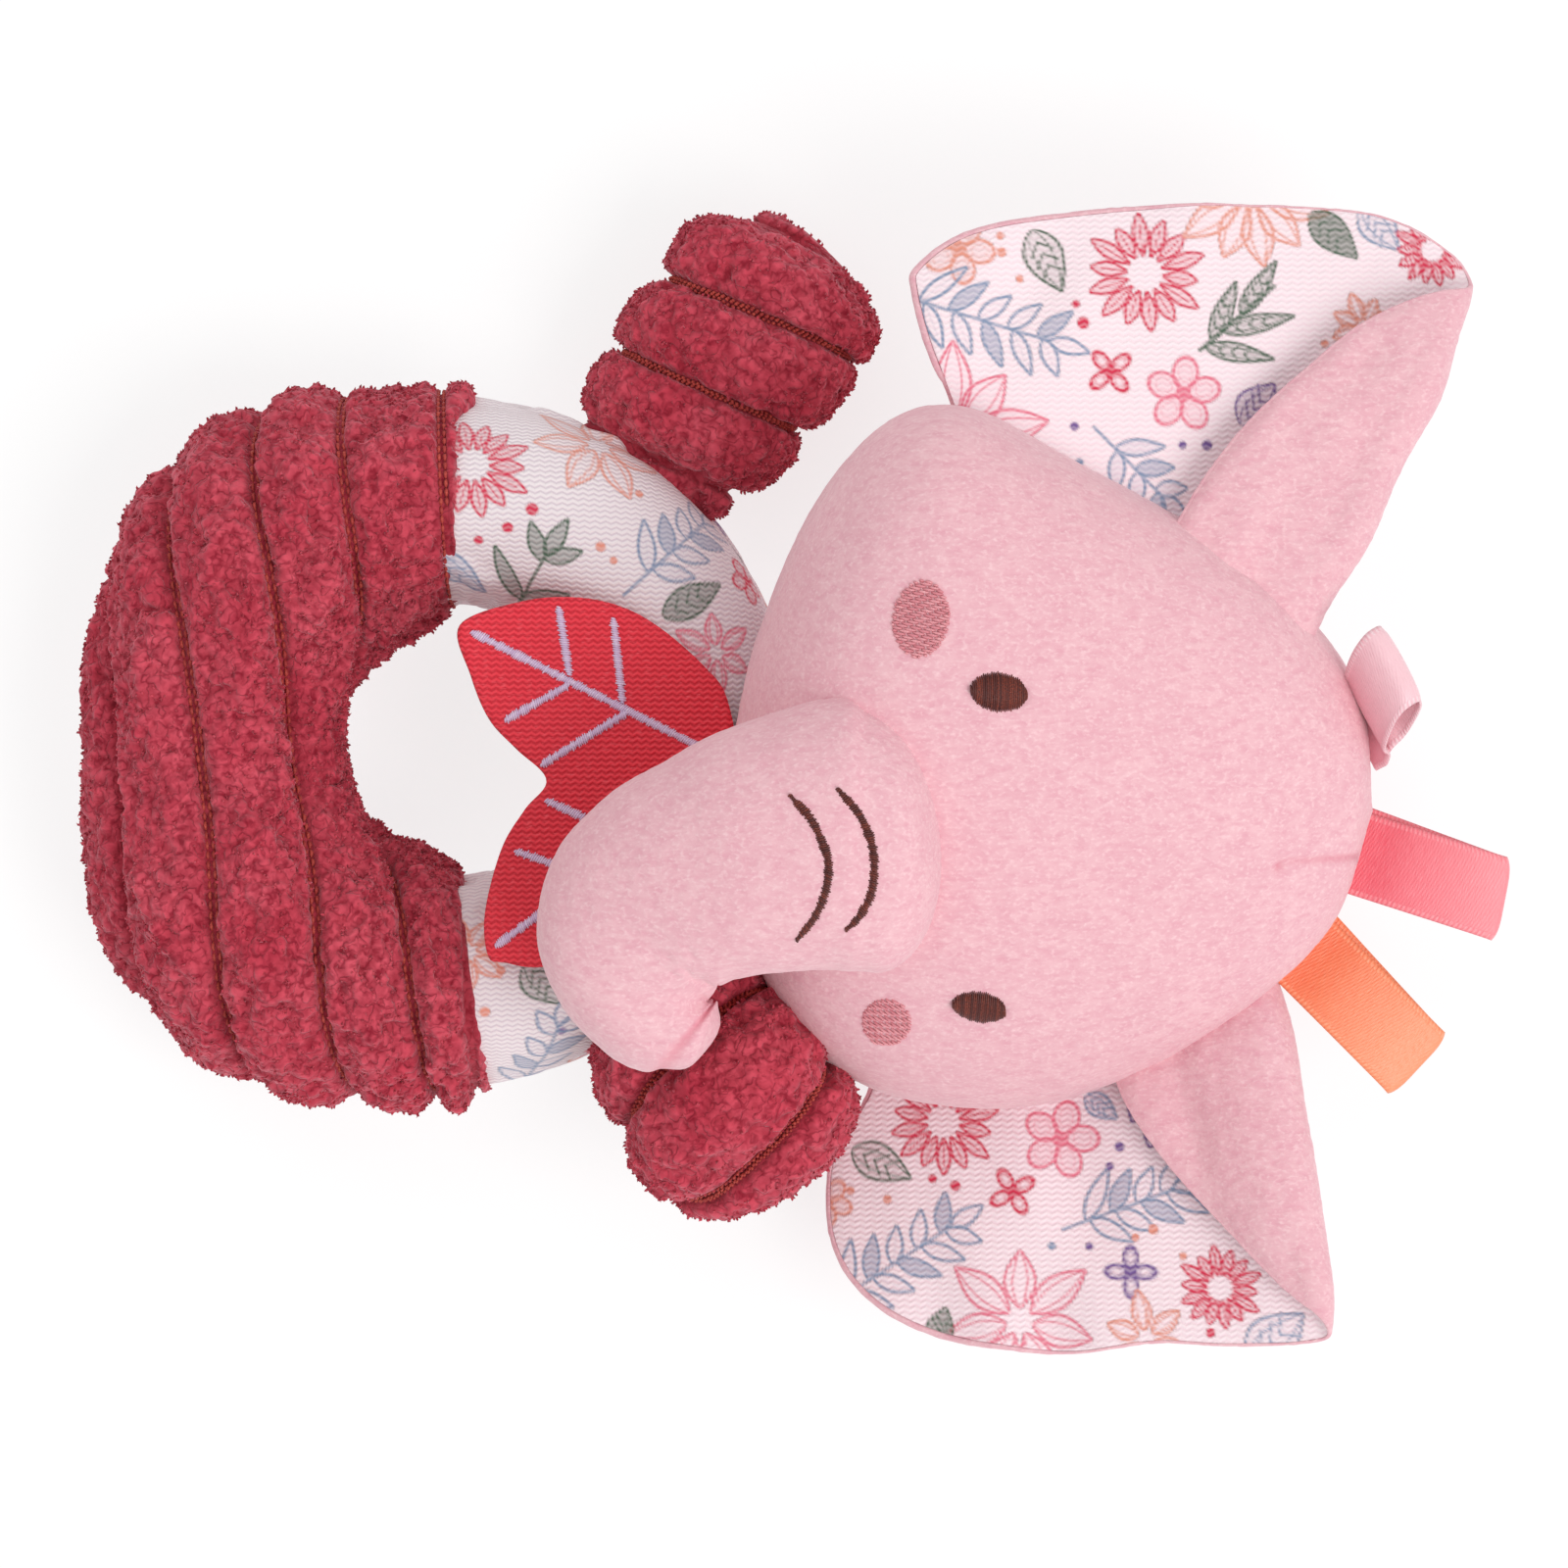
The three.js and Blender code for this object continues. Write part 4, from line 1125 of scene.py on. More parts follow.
def build_head():
    wrap = (False, True)
    outline = smooth_line(HEAD_OUTLINE, 400)

    def shape(u, v):
        half, height = line_at(outline, u)
        angle = v * 2 * math.pi
        side, front = power(np.cos(angle), 0.96), power(np.sin(angle), 0.9)
        cheek = np.where(side < 0, 0.11 * bell(height + 20, 14), 0.12 * bell(height - 10, 20))
        crown = CROWN_LIFT * np.clip((height - 12) / 26, 0, 1) ** 1.5
        local = np.stack([half * side * (1 + cheek), height + crown, half * HEAD_DEPTH * front], -1)
        return off_ring(from_head(local), BACK_R + 0.5)

    def from_seam(v):
        return np.minimum(np.abs(v - 0.5 - HEAD_SEAM), np.abs(v - 1 + HEAD_SEAM))

    def held(u, v):
        return ((from_seam(v) < 0.006) | (u < 0.03) | (u > 0.97)).astype(float)

    grid, (u, v) = stuffed(shape, HEAD_ROWS, HEAD_COLS, 4, wrap, held, 1.4, 0.02)
    grid = off_ring(grid, BACK_R + 0.4)
    facing = normals(grid, wrap)
    to_seam = from_seam(v) * HEAD_GIRTH
    seam = bell(to_seam, 0.8)
    dart = dart_line(grid)
    pucker = noise(grid * [1, 1, 0.4], 1.6, 8) * 0.12 * np.exp(-to_seam / 5)
    dip = -0.75 * seam - 0.45 * dart + pucker + 0.10 * noise(grid, 6.0, 4) + 0.05 * noise(grid, 0.9, 6)
    grid = grid + facing * dip[..., None]
    # painted shade along the side seams and down the crown's dart
    pit = np.clip(0.75 * seam + 0.6 * dart, 0, 1)
    count = grid.shape[1]
    past = round(HEAD_SEAM * count)
    panels = {
        "head_front": np.arange(-past, count // 2 + past + 1),
        "head_back": np.arange(count // 2 + past, count - past + 1),
    }
    for name, cols in panels.items():
        part = grid[:, cols]
        piece = grid_object(name, part, (False, False), LOOKS["velour"], True, lay=part, pit=pit[:, cols])
        own(piece, ROOT, "pink_velour", name + "_panel", fill=0.85)
    return grid_tree(grid, wrap)


DART = ((14.8, 101.2), (14.3, 112.5))  # the seam down from the crown, as x, y of its ends


def dart_line(points):
    """1 on the short seam that runs down from the crown, with a pucker at its end."""
    a, b = (np.array(p) for p in DART)
    t = np.clip(((points[..., :2] - a) @ (b - a)) / ((b - a) @ (b - a)), 0, 1)
    away = np.linalg.norm(points[..., :2] - (a + t[..., None] * (b - a)), axis=-1)
    knot = np.linalg.norm(points[..., :2] - (a + [0.6, -0.3]), axis=-1)
    front = points[..., 2] > HEAD_AT[2]
    return np.maximum(bell(away, 0.45) * (0.45 + 0.55 * t), bell(knot, 0.6)) * front


STITCH, ROW = 1.65, 0.31  # length of a cheek's stitches and pitch of their rows
EYE_ROW = 0.24  # pitch of an eye's stitches


def stitched_oval(name, node, centre, half_y, half_x, turn, tree, along_y, seed):
    """An oval filled with satin stitches: centre as (y, x), turned in plan."""
    rng = np.random.default_rng(seed)
    c, s = heading(math.radians(turn))
    starts, ends = [], []
    if along_y:  # rows of short stitches
        for i, row in enumerate(np.arange(-half_x + 0.15, half_x, ROW)):
            reach = half_y * math.sqrt(max(1 - (row / half_x) ** 2, 0.02))
            for cut in np.arange(-half_y - STITCH * ((i * 0.37) % 1), reach, STITCH):
                low, high = max(cut, -reach), min(cut + STITCH, reach)
                if high - low > 0.3:
                    starts.append((low, row + rng.uniform(-0.04, 0.04)))
                    ends.append((high - 0.02, row + 0.06 + rng.uniform(-0.04, 0.04)))
    else:  # long stitches from edge to edge
        for row in np.arange(-half_y + 0.12, half_y, EYE_ROW):
            reach = half_x * math.sqrt(max(1 - (row / half_y) ** 2, 0.03)) * rng.uniform(0.93, 1.06)
            starts.append((row, -reach))
            ends.append((row + 0.25, reach))
    plan = []
    for group in (starts, ends):
        p = np.array(group)
        y = centre[0] + p[:, 0] * c - p[:, 1] * s
        x = centre[1] + p[:, 0] * s + p[:, 1] * c
        plan.append(on_surface(tree, np.stack([x, y], -1)))
    (a, up_a), (b, up_b) = plan
    look, slot, lift = ("rose", "pink_thread", 0.3) if along_y else ("brown", "brown_thread", 0.75)
    piece = threads(name, a, b, (up_a + up_b) / 2, LOOKS[look], radius=0.18, lift=lift, steps=7)
    own(piece, ROOT, slot, node)


def build_face(tree):
    ovals = [  # part, side, centre as (y, x), half height, half width, turn
        ("eye", "right", (66.5, -5.5), 3.4, 2.5, 4), ("eye", "left", (64.6, 32.3), 3.3, 2.0, 8),
        ("cheek", "right", (57.4, -14.2), 3.5, 4.6, 8), ("cheek", "left", (53.6, 34.2), 3.1, 2.9, 30),
    ]
    for seed, (part, side, *oval_sizes) in enumerate(ovals, 1):
        stitched_oval(f"{part}_stitches_{side}", f"{part}_{side}", *oval_sizes, tree, part == "cheek", seed)


# ---------------------------------------------------------------- trunk
def sweep(path, sizes, u, v, fullness):
    """A tube along a path. u runs along it and v round it."""
    ahead = unit(np.gradient(path, axis=0))
    side = unit(np.cross(ahead, [0, 0, 1]))
    lines = (path, side, np.cross(side, ahead), sizes)
    middle, out, over, size = (np.stack(line_at(line, u), -1) for line in lines)
    across, up = oval(v, fullness)
    return middle + out * (across * size[..., 0])[..., None] + over * (up * size[..., 1])[..., None]


def between_sides(sides, u, v, fullness):
    """A tube whose two sides, seen from above, follow two given lines."""
    ax, ay, bx, by, z, half = line_at(sides, u)
    across, up = oval(v, fullness)
    x = (ax + bx) / 2 + (ax - bx) / 2 * across
    y = (ay + by) / 2 + (ay - by) / 2 * across
    return np.stack([x, y, z + half * up], -1)


def build_trunk():
    wrap = (False, True)
    count = 300
    sides = smooth_line(TRUNK_SIDES, count)
    near_root = np.arange(count) < 0.4 * count
    far = np.where(near_root, sides[0, 1] - sides[:, 1], 99)
    tip = rounded(np.linspace(1, 0, count) / 0.07)
    narrow, low = (rounded(far / reach) * tip + 0.001 for reach in (9.0, 6.0))
    middle = (sides[:, :2] + sides[:, 2:4]) / 2
    half = (sides[:, :2] - sides[:, 2:4]) / 2 * narrow[:, None]
    sides = np.column_stack([middle + half, middle - half, sides[:, 4], sides[:, 5] * low])

    def shape(u, v):
        return between_sides(sides, u, v, 1.12)

    def held(u, v):
        return ((u < 0.14) | (u > 0.97) | (np.abs(u - TIP_SEAM) < 0.012)).astype(float)

    grid, (u, v) = stuffed(shape, 46, 44, 5, wrap, held, 0.9, 0.02)
    facing = normals(grid, wrap)
    seam = bell(u - TIP_SEAM, 0.014)
    dip = -0.42 * seam + 0.14 * noise(grid, 5.0, 14) + 0.05 * noise(grid, 0.9, 16)
    grid = grid + facing * dip[..., None]
    # painted shade at the tucked seam of the tip
    piece = grid_object("trunk_skin", grid, wrap, LOOKS["velour"], True, lay=grid, pit=seam * 0.5)
    dress(piece, "pink_velour", "trunk_cover", fill=0.85)
    sewn(piece, "trunk", *TRUNK_SEWN)
    tree = grid_tree(grid, wrap)
    for seed, (name, points) in enumerate(TRUNK_LINES.items()):
        line = np.array(points)
        stitches = satin_line(name + "_stitches", line, 1.15, tree, LOOKS["brown"], 1.8, seed=seed)
        dress(stitches, "brown_thread", name)
        sewn(stitches, "trunk", *TRUNK_SEWN)


# ---------------------------------------------------------------- ears
def folded(a, n):
    """Cloth past the crease turns back over itself."""
    past = a - EAR_CREASE
    angle = np.clip(past / EAR_FOLD, 0, math.pi)
    flat = np.maximum(past - math.pi * EAR_FOLD, 0)
    across = np.where(past <= 0, past, (EAR_FOLD - n) * np.sin(angle) - flat)
    lift = np.where(past <= 0, n, EAR_FOLD - (EAR_FOLD - n) * np.cos(angle))
    return across, lift


def half_width_at(height):
    rows = np.array(HEAD_OUTLINE)
    return float(np.interp(height, rows[:, 1], rows[:, 0]))


def ear_frame(sign, rise):
    """Low end of the sewn edge, and the directions along it, out from it and forward, in the head's frame."""
    behind = math.radians(12)

    def root(height):
        reach = half_width_at(height) + 1.6
        return np.array([sign * reach * math.cos(behind), height, -HEAD_DEPTH * reach * math.sin(behind)])

    low = root(-15)
    along = unit(root(29) - low)
    yaw, tilt = math.radians(HEAD_YAW), math.radians(rise)
    flat = sign * math.cos(tilt)
    out = np.array([flat * math.cos(yaw), 0, flat * math.sin(yaw) + math.sin(tilt)])
    out = unit(out - out @ along * along)
    forward = np.cross(out, along) * sign
    return low, along, out, forward


def build_ear(side, sign, rise, body, motifs):
    low, along, out, forward = ear_frame(sign, rise)

    def place(a, b, n):
        across, lift = folded(a, n)
        along_root = (EAR_CREASE + across)[..., None] * along
        return from_head(low + along_root + b[..., None] * out + lift[..., None] * forward)

    def skin(layer, node, grid, look, slot, **attributes):
        piece = grid_object(f"ear_{side}_{layer}", grid, (False, False), LOOKS[look], True, **attributes)
        sewn(piece, body, from_head(low + out * -1.5), from_head(low + out * 5.0))
        dress(piece, slot, f"ear_{side}_{node}", fill=0.35)

    edge = smooth_line([(1, -4), *EAR_RIMS[side], (72, -4)], 451)
    outward = unit(left_of(np.gradient(edge, axis=0)))
    v = np.linspace(0, 1, len(edge))
    roll = RIM_ROLL * (0.45 + 0.55 * np.clip((0.42 - v) / 0.1, 0, 1))
    inner = edge - outward * roll[:, None]
    root = np.stack([1 + v * EAR_ROOT, np.full_like(v, -6.0)], -1)
    u = np.linspace(0, 1, 206) ** 0.85
    sheet = root[None] + (inner - root)[None] * u[:, None, None]
    from_edge = np.linalg.norm(inner - root, axis=1)[None] * (1 - u)[:, None]
    puff = 1 - np.exp(-from_edge / 2.6)
    waves = noise(level(sheet) * [1, 0.35, 1], 7.0, 31 + sign)
    droop = 0.9 * waves * np.clip(sheet[..., 1] / 20, 0, 1)

    front_n = roll * 0.85 + 0.45 * puff + droop
    grid = place(sheet[..., 0], sheet[..., 1], front_n)
    ink = Print(grid[..., :2])
    motifs(ink)
    lay = level(grid[..., :2])
    on_strip = sheet[..., 0] > EAR_CREASE + EAR_FOLD * math.pi / 2
    lay[on_strip, :2] = (sheet * [sign, 1])[on_strip]
    colours = ink.result()
    if sign < 0:
        grid, lay, colours = grid[::-1], lay[::-1], colours[::-1]
    skin("front", "print", grid, "ear_print", "ear_print", lay=lay, ink=colours)

    # the velour back, with an edge that rolls round to the front
    strip = np.clip((sheet[..., 0] - EAR_CREASE) / 6, 0, 1)
    rumple = noise(level(sheet) * [1, 0.45, 1], 4.6, 41 + sign)
    back_n = -roll - (0.75 + 0.9 * strip) * puff + droop - 0.9 * strip * rumple * puff
    turn = np.linspace(0, math.pi * 1.1, 13)[1:]
    roll_at = inner[None] + outward[None] * (roll * np.sin(turn)[:, None])[..., None]
    roll_n = -roll * (np.cos(turn) * np.where(turn < math.pi, 1, 0.6))[:, None] + droop[-1][None]
    layers = ((sheet, back_n), (roll_at, roll_n))
    grid = np.concatenate([place(flat[..., 0], flat[..., 1], n) for flat, n in layers])
    if sign > 0:
        grid = grid[::-1]
    grid = grid + normals(grid, (False, False)) * (0.06 * noise(grid, 0.9, 51))[..., None]
    skin("back", "velour", grid, "velour", "pink_velour", lay=grid, pit=np.zeros(grid.shape[:2]))


def spot(y, x):
    return np.array([x, y])


def right_ear_motifs(ink):
    at = spot
    ink.blossom(at(62.4, -59.6), 4.3, PEACH, 5, 10)
    ink.leaf(at(71.2, -62.0), at(75.0, -54.4), 2.3, GREEN, 0.2)
    ink.daisy(at(85.1, -56.7), 7.2, 6)
    ink.sprig(at(56.5, -53.4), at(73.4, -48.4), BLUE, 5, 6.9, 0.92, 0.03, 52, 0.1)
    ink.star(at(98.2, -67.0), 9.4, PEACH, 11, 10)
    ink.leaf(at(105.6, -64.6), at(111.4, -58.9), 2.0, GREEN, 0.75)
    ink.leaf(at(112.0, -65.5), at(116.4, -60.0), 2.2, BLUE, 0.15)
    ink.stem(at(91.8, -47.4), at(101.0, -55.4), GREEN, 0.55)
    for base, tip in (((93.2, -48.6), (96.4, -56.0)), ((96.8, -51.8), (101.4, -58.6)),
                      ((94.4, -49.8), (103.6, -51.8)), ((92.4, -47.8), (101.0, -46.4))):
        ink.leaf(at(*base), at(*tip), 1.1, GREEN, 0.35)
    ink.clover(at(80.8, -44.7), 2.9, RED, 40)
    ink.blossom(at(89.7, -42.0), 4.5, PINK, 5, 30)
    ink.leaf(at(96.8, -38.2), at(101.0, -43.4), 2.4, PURPLE, 0.2)
    ink.star(at(61.6, -36.6), 11.0, PINK, 9, 20)
    ink.sprig(at(78.8, -37.9), at(87.0, -29.6), BLUE, 3, 6.3, 0.96, 0.2, 48, 0.35)
    ink.daisy(at(120.6, -60.0), 4.6, 12)
    ink.star(at(112.0, -50.5), 4.2, PEACH, 8, 20)
    ink.dots([
        (76.6, -52.9, 0.5, RED), (77.5, -50.6, 0.75, RED), (67.6, -59.2, 0.6, PEACH),
        (67.4, -61.2, 0.5, PEACH), (69.8, -56.0, 0.5, PEACH), (76.4, -38.0, 0.55, PURPLE),
        (89.6, -35.8, 0.5, PURPLE), (92.6, -35.8, 0.65, PURPLE), (77.0, -33.6, 0.5, BLUE),
        (107.2, -48.4, 0.5, PEACH), (109.0, -46.2, 0.5, RED),
    ], at)


def left_ear_motifs(ink):
    at = spot
    ink.daisy(at(61.0, 47.4), 6.6, 0)
    ink.blossom(at(75.4, 49.4), 4.7, PINK, 5, 20)
    ink.leaf(at(49.6, 50.9), at(57.0, 54.4), 2.2, GREEN, 0.2)
    ink.clover(at(69.4, 55.8), 2.9, RED, 30)
    ink.sprig(at(84.6, 42.4), at(87.2, 47.8), PURPLE, 2, 4.5, 1, 0.35)
    ink.sprig(at(75.6, 60.4), at(89.0, 55.4), BLUE, 4, 7.1, 1, 0.03, 46, 0.25)
    ink.sprig(at(48.6, 69.0), at(61.8, 60.2), BLUE, 5, 6.5, 0.96, 0.04, 50, 0.05)
    ink.star(at(70.2, 71.6), 9.6, PINK, 7, 25)
    ink.clover(at(83.8, 65.4), 3.0, PURPLE, 0)
    ink.daisy(at(94.6, 67.2), 5.0, 8)
    ink.star(at(85.6, 73.4), 5.6, PEACH, 6, 70)
    ink.leaf(at(98.0, 76.0), at(104.6, 70.0), 3.0, BLUE, 0.1)
    ink.leaf(at(59.8, 74.8), at(61.2, 70.0), 1.6, GREEN, 0.6)
    ink.leaf(at(78.5, 44.0), at(82.4, 46.8), 1.4, BLUE, 0.3)
    ink.blossom(at(46.6, 57.4), 3.0, PEACH)
    ink.dots([
        (59.6, 54.4, 0.55, RED), (62.4, 55.2, 0.65, RED), (49.4, 56.0, 0.55, PEACH),
        (54.0, 57.0, 0.55, PEACH), (82.6, 50.2, 0.6, PURPLE), (81.4, 52.6, 0.5, PURPLE),
        (74.2, 62.4, 0.5, BLUE), (78.8, 62.4, 0.5, PURPLE), (86.6, 60.2, 0.65, PEACH),
        (84.4, 61.2, 0.5, PEACH), (90.2, 63.4, 0.5, PEACH), (93.4, 72.6, 0.6, RED),
    ], at)


# ---------------------------------------------------------------- arms
def build_arm(side, body):
    sign, along, turn, line, grooves = ARMS[side]
    start = np.append((RING_R + PRINT_R) * heading(math.radians(along)) * [sign, 1], RING_Z)
    plan = np.append(heading(math.radians(turn)) * [sign, 1], 0)
    points = [start + plan * far + np.array([0, 0, up]) for far, up in line]
    count = 200
    path = smooth_line(points, count)
    long = np.linalg.norm(np.diff(path, axis=0), axis=1).sum()
    share = np.linspace(0, 1, count)
    rows = np.array(ARM_SHAPE)
    nose = np.clip(1 - (np.clip(share - 0.72, 0, 1) / 0.28) ** 3.0, 0, 1) ** 0.45
    sizes = np.stack([np.interp(share, rows[:, 0], rows[:, i]) for i in (1, 2)], -1) * nose[:, None] + 0.001
    edges = np.array([grooves[0] - 12, *grooves, grooves[-1] + 9])

    def rib_of(u, v):
        """Which rib of the arm a point is on, how far it is from a groove, and half the rib's width."""
        lean = -0.2 * np.cos(v * 2 * math.pi) * np.interp(u, share, sizes[:, 0])
        g = u * long + lean
        rib = np.clip(np.searchsorted(edges, g) - 1, 0, len(edges) - 2)
        return rib, np.minimum(g - edges[rib], edges[rib + 1] - g), (edges[rib + 1] - edges[rib]) / 2

    wrap = (False, True)

    def shape(u, v):
        base, middle = sweep(path, sizes, u, v, 1.1), sweep(path, sizes * 0, u, v, 1.1)
        away = base - middle
        far = np.linalg.norm(away, axis=-1, keepdims=True)
        sink = (ARM_CREST - ARM_SINK * (1 - rib_puff(*rib_of(u, v)[1:]) ** 0.7))[..., None]
        ends = (np.clip(u / 0.06, 0, 1) * np.clip((1 - u) / 0.05, 0, 1))[..., None]
        return middle + away * np.maximum(1 + sink * ends / np.maximum(far, 1e-6), 0.1)

    def held(u, v):
        return ((rib_of(u, v)[1] < 0.7) | (u < 0.03) | (u > 0.98)).astype(float)

    grid, (u, v) = stuffed(shape, 40, 44, 5, wrap, held, 0.7, 0.05)
    facing = normals(grid, wrap)
    rib, from_groove, half_rib = rib_of(u, v)
    puff = rib_puff(from_groove, half_rib)
    fluffed, pit = fluff(grid, facing, puff, 60 + sign)
    piece = grid_object(f"arm_{side}_skin", fluffed, wrap, LOOKS["sherpa"], True, lay=grid, pit=pit)
    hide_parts(f"arm_{side}_cover")
    curls = tufts(f"arm_{side}_curls", fluffed, facing, puff, 3500, 71 + sign)
    stitches = arm_stitches(side, grid, facing, rib)
    for soft in (piece, curls, stitches):
        sewn(soft, body, start, start + unit(points[1] - start) * 5)


def arm_stitches(side, grid, facing, rib):
    """Three rows of thread round the arm along each groove."""
    starts, ends, ups = [], [], []
    columns, count = np.arange(grid.shape[1]), 90
    for groove in range(1, rib.max() + 1):
        rows = (rib < groove).sum(0)
        if rows.min() < 4 or rows.max() > len(grid) - 4:
            continue
        for shift in (-3, 0, 2):
            ring = grid[rows + shift, columns] + facing[rows + shift, columns] * 0.25
            dense = smooth_line(ring, count, True)
            pick = np.linspace(0, len(columns) - 1, count).astype(int)
            starts.append(dense)
            ends.append(dense + (np.roll(dense, -1, 0) - dense) * 0.8)
            ups.append(facing[rows, columns][pick])
    return threads(f"arm_{side}_stitches", starts, ends, ups, LOOKS["rust"], radius=0.24, lift=0.28)


# ---------------------------------------------------------------- leaves
def leaf_height(x, y):
    """The leaf pair rests under the chin, and its two tips curl up a little."""
    curl = 1.5 * np.clip((9 - y) / 9, 0, 1.2) ** 2
    return LEAF_Z + curl * 0.6 + 0.35 * np.sin(x * 0.21 + 0.6) * np.clip((34 - y) / 20, 0, 1)


def build_leaves():
    outline = smooth_line([(x, y) for y, x in LEAF_EDGE], 260, True)
    low, high = outline.min(0), outline.max(0)
    step = 0.8
    xs, ys = np.meshgrid(np.arange(low[0], high[0], step), np.arange(low[1], high[1], step))
    inside = np.column_stack([xs.ravel(), ys.ravel()])
    gaps = np.min(np.linalg.norm(inside[:, None] - outline[None, ::2], axis=2), axis=1)
    inside = inside[gaps > 0.45]
    points = [Vector(p) for p in np.vstack([outline, inside])]
    ring = list(range(len(outline)))
    made = delaunay_2d_cdt(points, [], [ring], 1, 1e-6)
    plan = np.array([tuple(p) for p in made[0]])
    faces = np.array([list(f) for f in made[2] if len(f) == 3])
    corner = plan[faces]
    area = np.cross(corner[:, 1] - corner[:, 0], corner[:, 2] - corner[:, 0])
    faces[area < 0] = faces[area < 0][:, ::-1]
    points = np.column_stack([plan, leaf_height(plan[:, 0], plan[:, 1])])
    piece = mesh_object("leaf_cloth", points, faces, LOOKS["twill"], lay=level(plan))
    thicken(piece, LEAF_THICK, -1)
    own(piece, "leaves", "leaf_twill", "leaf_pair")
    tree = BVHTree.FromPolygons(points.tolist(), faces.tolist())
    for side, lines in LEAF_VEINS.items():
        pieces = []
        for seed, (a, b) in enumerate(lines):
            line = np.array([a[::-1], b[::-1]], float)
            line = np.vstack([line[:1], line.mean(0, keepdims=True), line[1:]])
            name = f"vein_{side}_{seed}"
            pieces.append(satin_line(name, line, 1.15, tree, LOOKS["lilac"], 0.3, seed=seed + 9))
        vein = join(f"leaf_{side}_vein_stitches", pieces)
        own(vein, "leaves", "lilac_thread", f"leaf_{side}_veins")


def join(name, pieces):
    bpy.ops.object.select_all(action="DESELECT")
    for piece in pieces:
        piece.select_set(True)
    bpy.context.view_layer.objects.active = pieces[0]
    bpy.ops.object.join()
    pieces[0].name = name
    return pieces[0]


# ---------------------------------------------------------------- ribbons
def build_ribbon(colour):
    across_crown, lean, tilt, length, bulge, shear, slant = RIBBONS[colour]
    rows = np.array(HEAD_OUTLINE[6:])
    height = float(np.interp(-abs(across_crown), -rows[:, 0], rows[:, 1]))
    base = from_head(np.array([across_crown, height + CROWN_LIFT, 0.0]))
    turn = turned("z", -lean) @ turned("x", tilt)
    end = 1.9 + length
    side = [(-SEWN_IN, 0.2), (2.0, 0.3), (0.35 * end, 0.42 * bulge), (0.72 * end, 0.5 * bulge),
            (0.95 * end, 0.3 * bulge), (end, 0)]
    loop = smooth_line(side + [(y, -z) for y, z in side[-2::-1]], 121)
    cut = np.linalg.norm(np.diff(loop, axis=0), axis=1).sum()
    v = np.linspace(0, 1, len(loop))
    u = np.linspace(-0.5, 0.5, 25)
    x = u[None, :] * TAPE + (shear * np.clip(loop[:, 0], 0, None))[:, None] + (0.8 * (0.5 - v))[:, None]
    edge_cord = 0.06 * bell(np.abs(u) - 0.465, 0.02)[None, :]
    sag = 0.25 * np.sin(9 * v)[:, None] * np.cos(3 * u)[None, :] + edge_cord
    y = loop[:, :1] + (slant * u * TAPE - 0.7 * np.abs(2 * u) ** 5)[None, :] * loop[:, :1] / end
    local = np.stack([x, y, loop[:, 1:2] + sag], -1)
    grid = base + local @ turn.T
    flat = np.stack(np.broadcast_arrays(u[None, :] * TAPE, (v * cut)[:, None], 0.0), -1)
    piece = grid_object(f"ribbon_{colour}_tape", grid, (False, False), LOOKS[colour], lay=flat)
    thicken(piece, TAPE_THICK, 0)
    dress(piece, f"{colour}_satin", f"ribbon_{colour}")
    sewn(piece, f"ribbon_{colour}", base + turn[:, 1] * 0.5, base + turn[:, 1] * 5.0)


# ---------------------------------------------------------------- pieces inside, stage, light and camera
def finish_inner_nodes():
    looks = {"stuffing": "stuffing", "rattle_shell": "capsule", "rattle_bead": "bead"}
    for name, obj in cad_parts.items():
        for word, look in looks.items():
            if word in name:
                obj.data.materials.clear()
                obj.data.materials.append(LOOKS[look])


def floor_look():
    """A pale, evenly lit floor, as on a light table, so that shadows stay faint."""
    look = Look("floor_pale", roughness=0.9, specular=0.1)
    look.shader.inputs["Emission Color"].default_value = (1, 1, 1, 1)
    look.shader.inputs["Emission Strength"].default_value = 0.72
    at = look.add("ShaderNodeTexCoord", {}, "Object")
    cloud = look.noise(at, 3.0, 2.0)
    return look.finish(look.mix(cloud, (0.29, 0.29, 0.29), (0.31, 0.31, 0.31)))


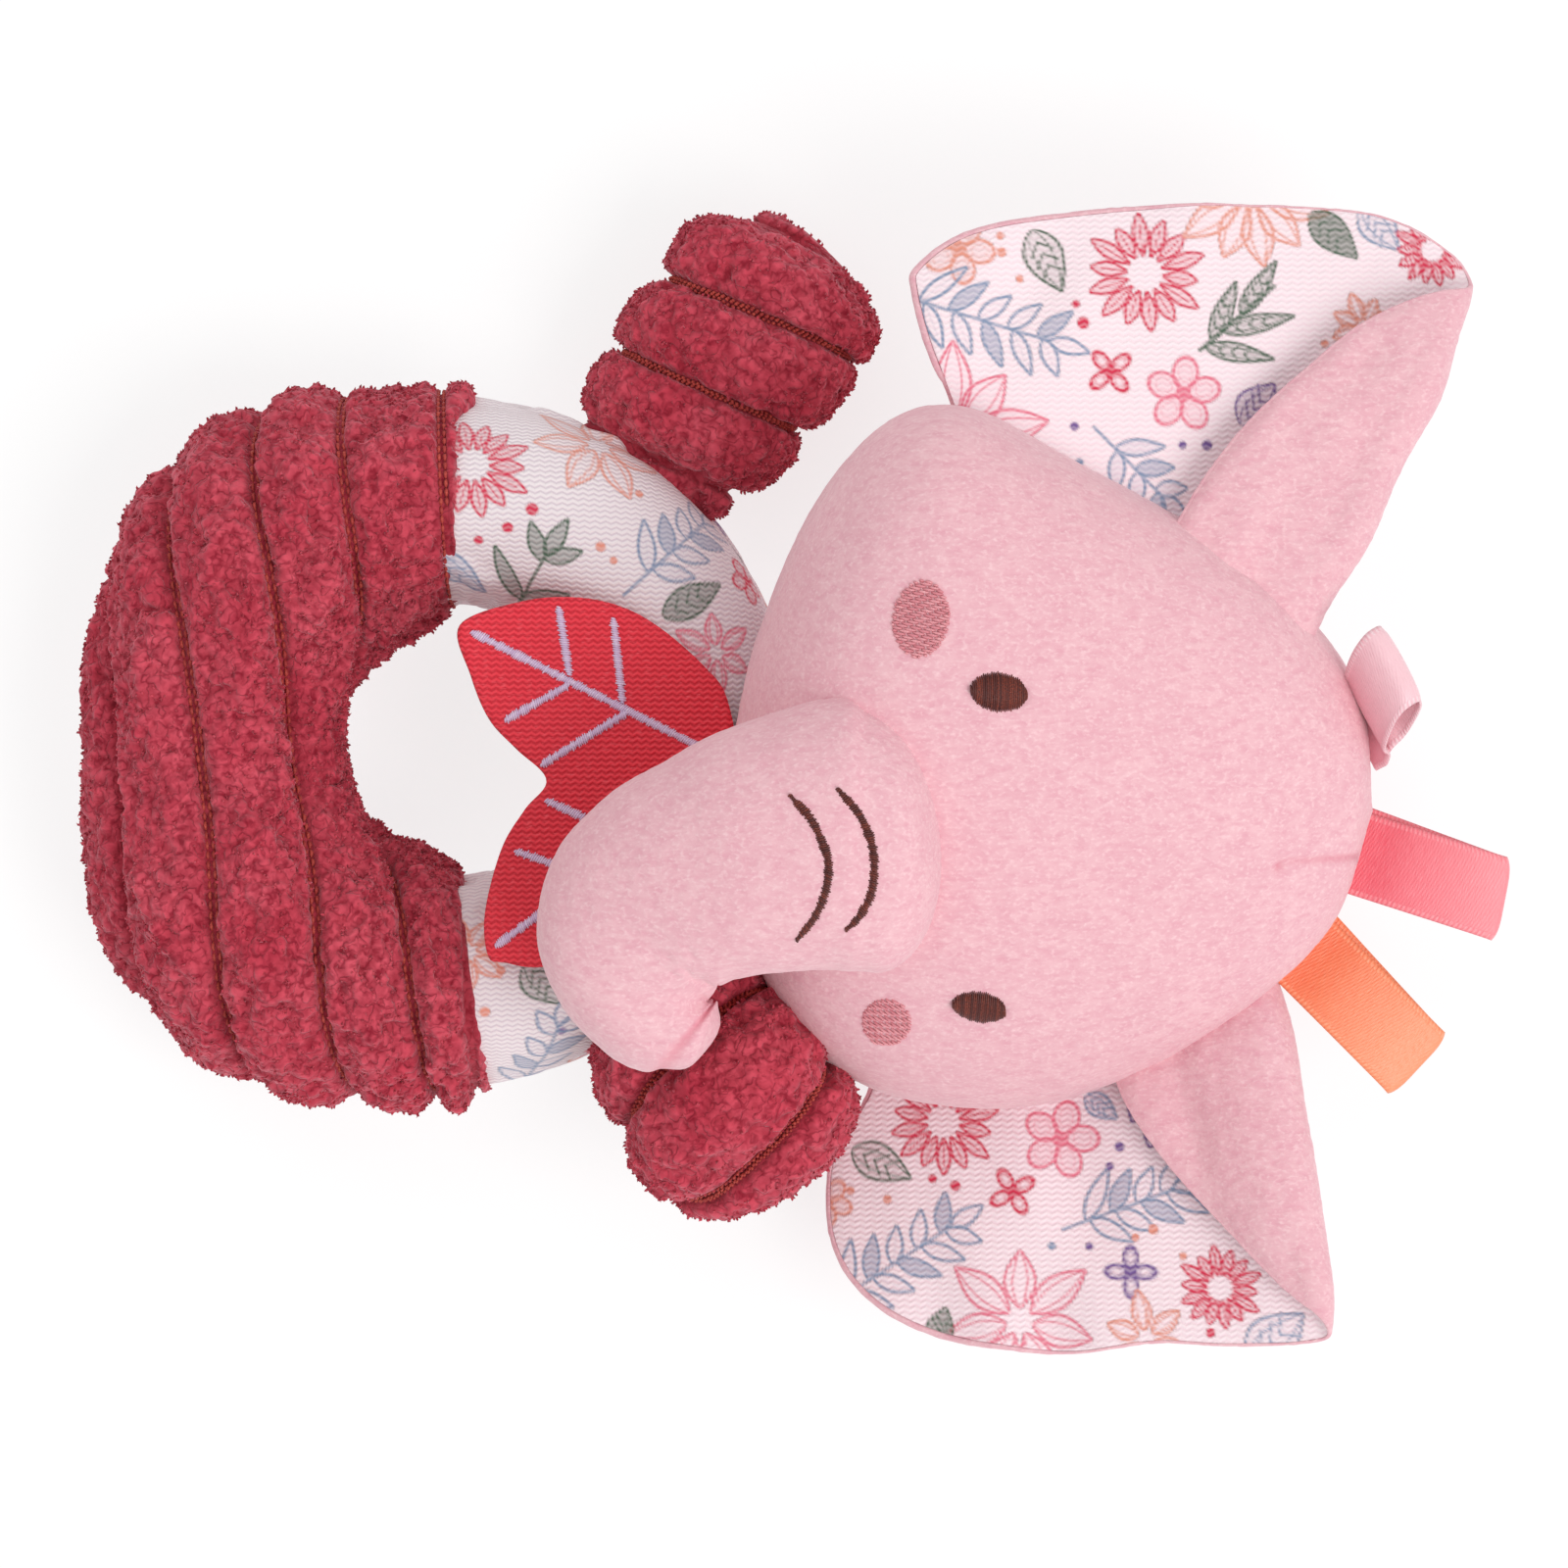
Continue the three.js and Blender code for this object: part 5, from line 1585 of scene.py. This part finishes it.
def build_stage():
    low, high = CAD_BOX
    half = 6.0
    mesh = bpy.data.meshes.new("floor")
    corners = [(-half, -half, low.z), (half, -half, low.z), (half, half, low.z), (-half, half, low.z)]
    mesh.from_pydata(corners, [], [(0, 1, 2, 3)])
    mesh.materials.append(floor_look())
    floor = bpy.data.objects.new("floor", mesh)
    bpy.context.scene.collection.objects.link(floor)
    world = bpy.data.worlds.new("studio")
    bpy.context.scene.world = world
    world.use_nodes = True
    world.node_tree.nodes["Background"].inputs["Color"].default_value = (1, 1, 1, 1)
    world.node_tree.nodes["Background"].inputs["Strength"].default_value = 0.62
    middle = (low + high) / 2
    lamps = (("key", (0.55, 0.75, 1.1), 0.9, 11.0), ("fill", (-0.9, -0.5, 0.9), 1.2, 3.5))
    for name, where, size, watts in lamps:
        light = bpy.data.lights.new(name, "AREA")
        light.size = size
        light.energy = watts
        lamp = bpy.data.objects.new(name, light)
        lamp.location = middle + Vector(where)
        lamp.rotation_euler = (-Vector(where)).to_track_quat("-Z", "Y").to_euler()
        bpy.context.scene.collection.objects.link(lamp)


VIEW_MM = 192.0  # width of the picture at the height that the camera looks at
VIEW_AT = to_row([5.4, 41.16, 28.0])
VIEW_FAR = 0.9


def build_camera():
    camera = bpy.data.cameras.new("camera")
    camera.type = "PERSP"
    camera.sensor_width = 36.0
    camera.lens = 36.0 * VIEW_FAR / (VIEW_MM * MM)
    obj = bpy.data.objects.new("camera", camera)
    obj.location = (VIEW_AT[0], VIEW_AT[1], VIEW_AT[2] + VIEW_FAR)
    obj.rotation_euler = (0, 0, math.radians(90))
    bpy.context.scene.collection.objects.link(obj)
    bpy.context.scene.camera = obj
    bpy.context.scene.view_settings.view_transform = "Standard"


build_camera()
build_stage()
finish_inner_nodes()
build_ring_prints()
build_sleeve()
build_face(build_head())
build_trunk()
build_ear("right", -1, -8, "ear_right", right_ear_motifs)
build_ear("left", 1, 16, "ear_left", left_ear_motifs)
for arm in ARMS:
    build_arm(arm, f"arm_{arm}")
build_leaves()
for ribbon in RIBBONS:
    build_ribbon(ribbon)
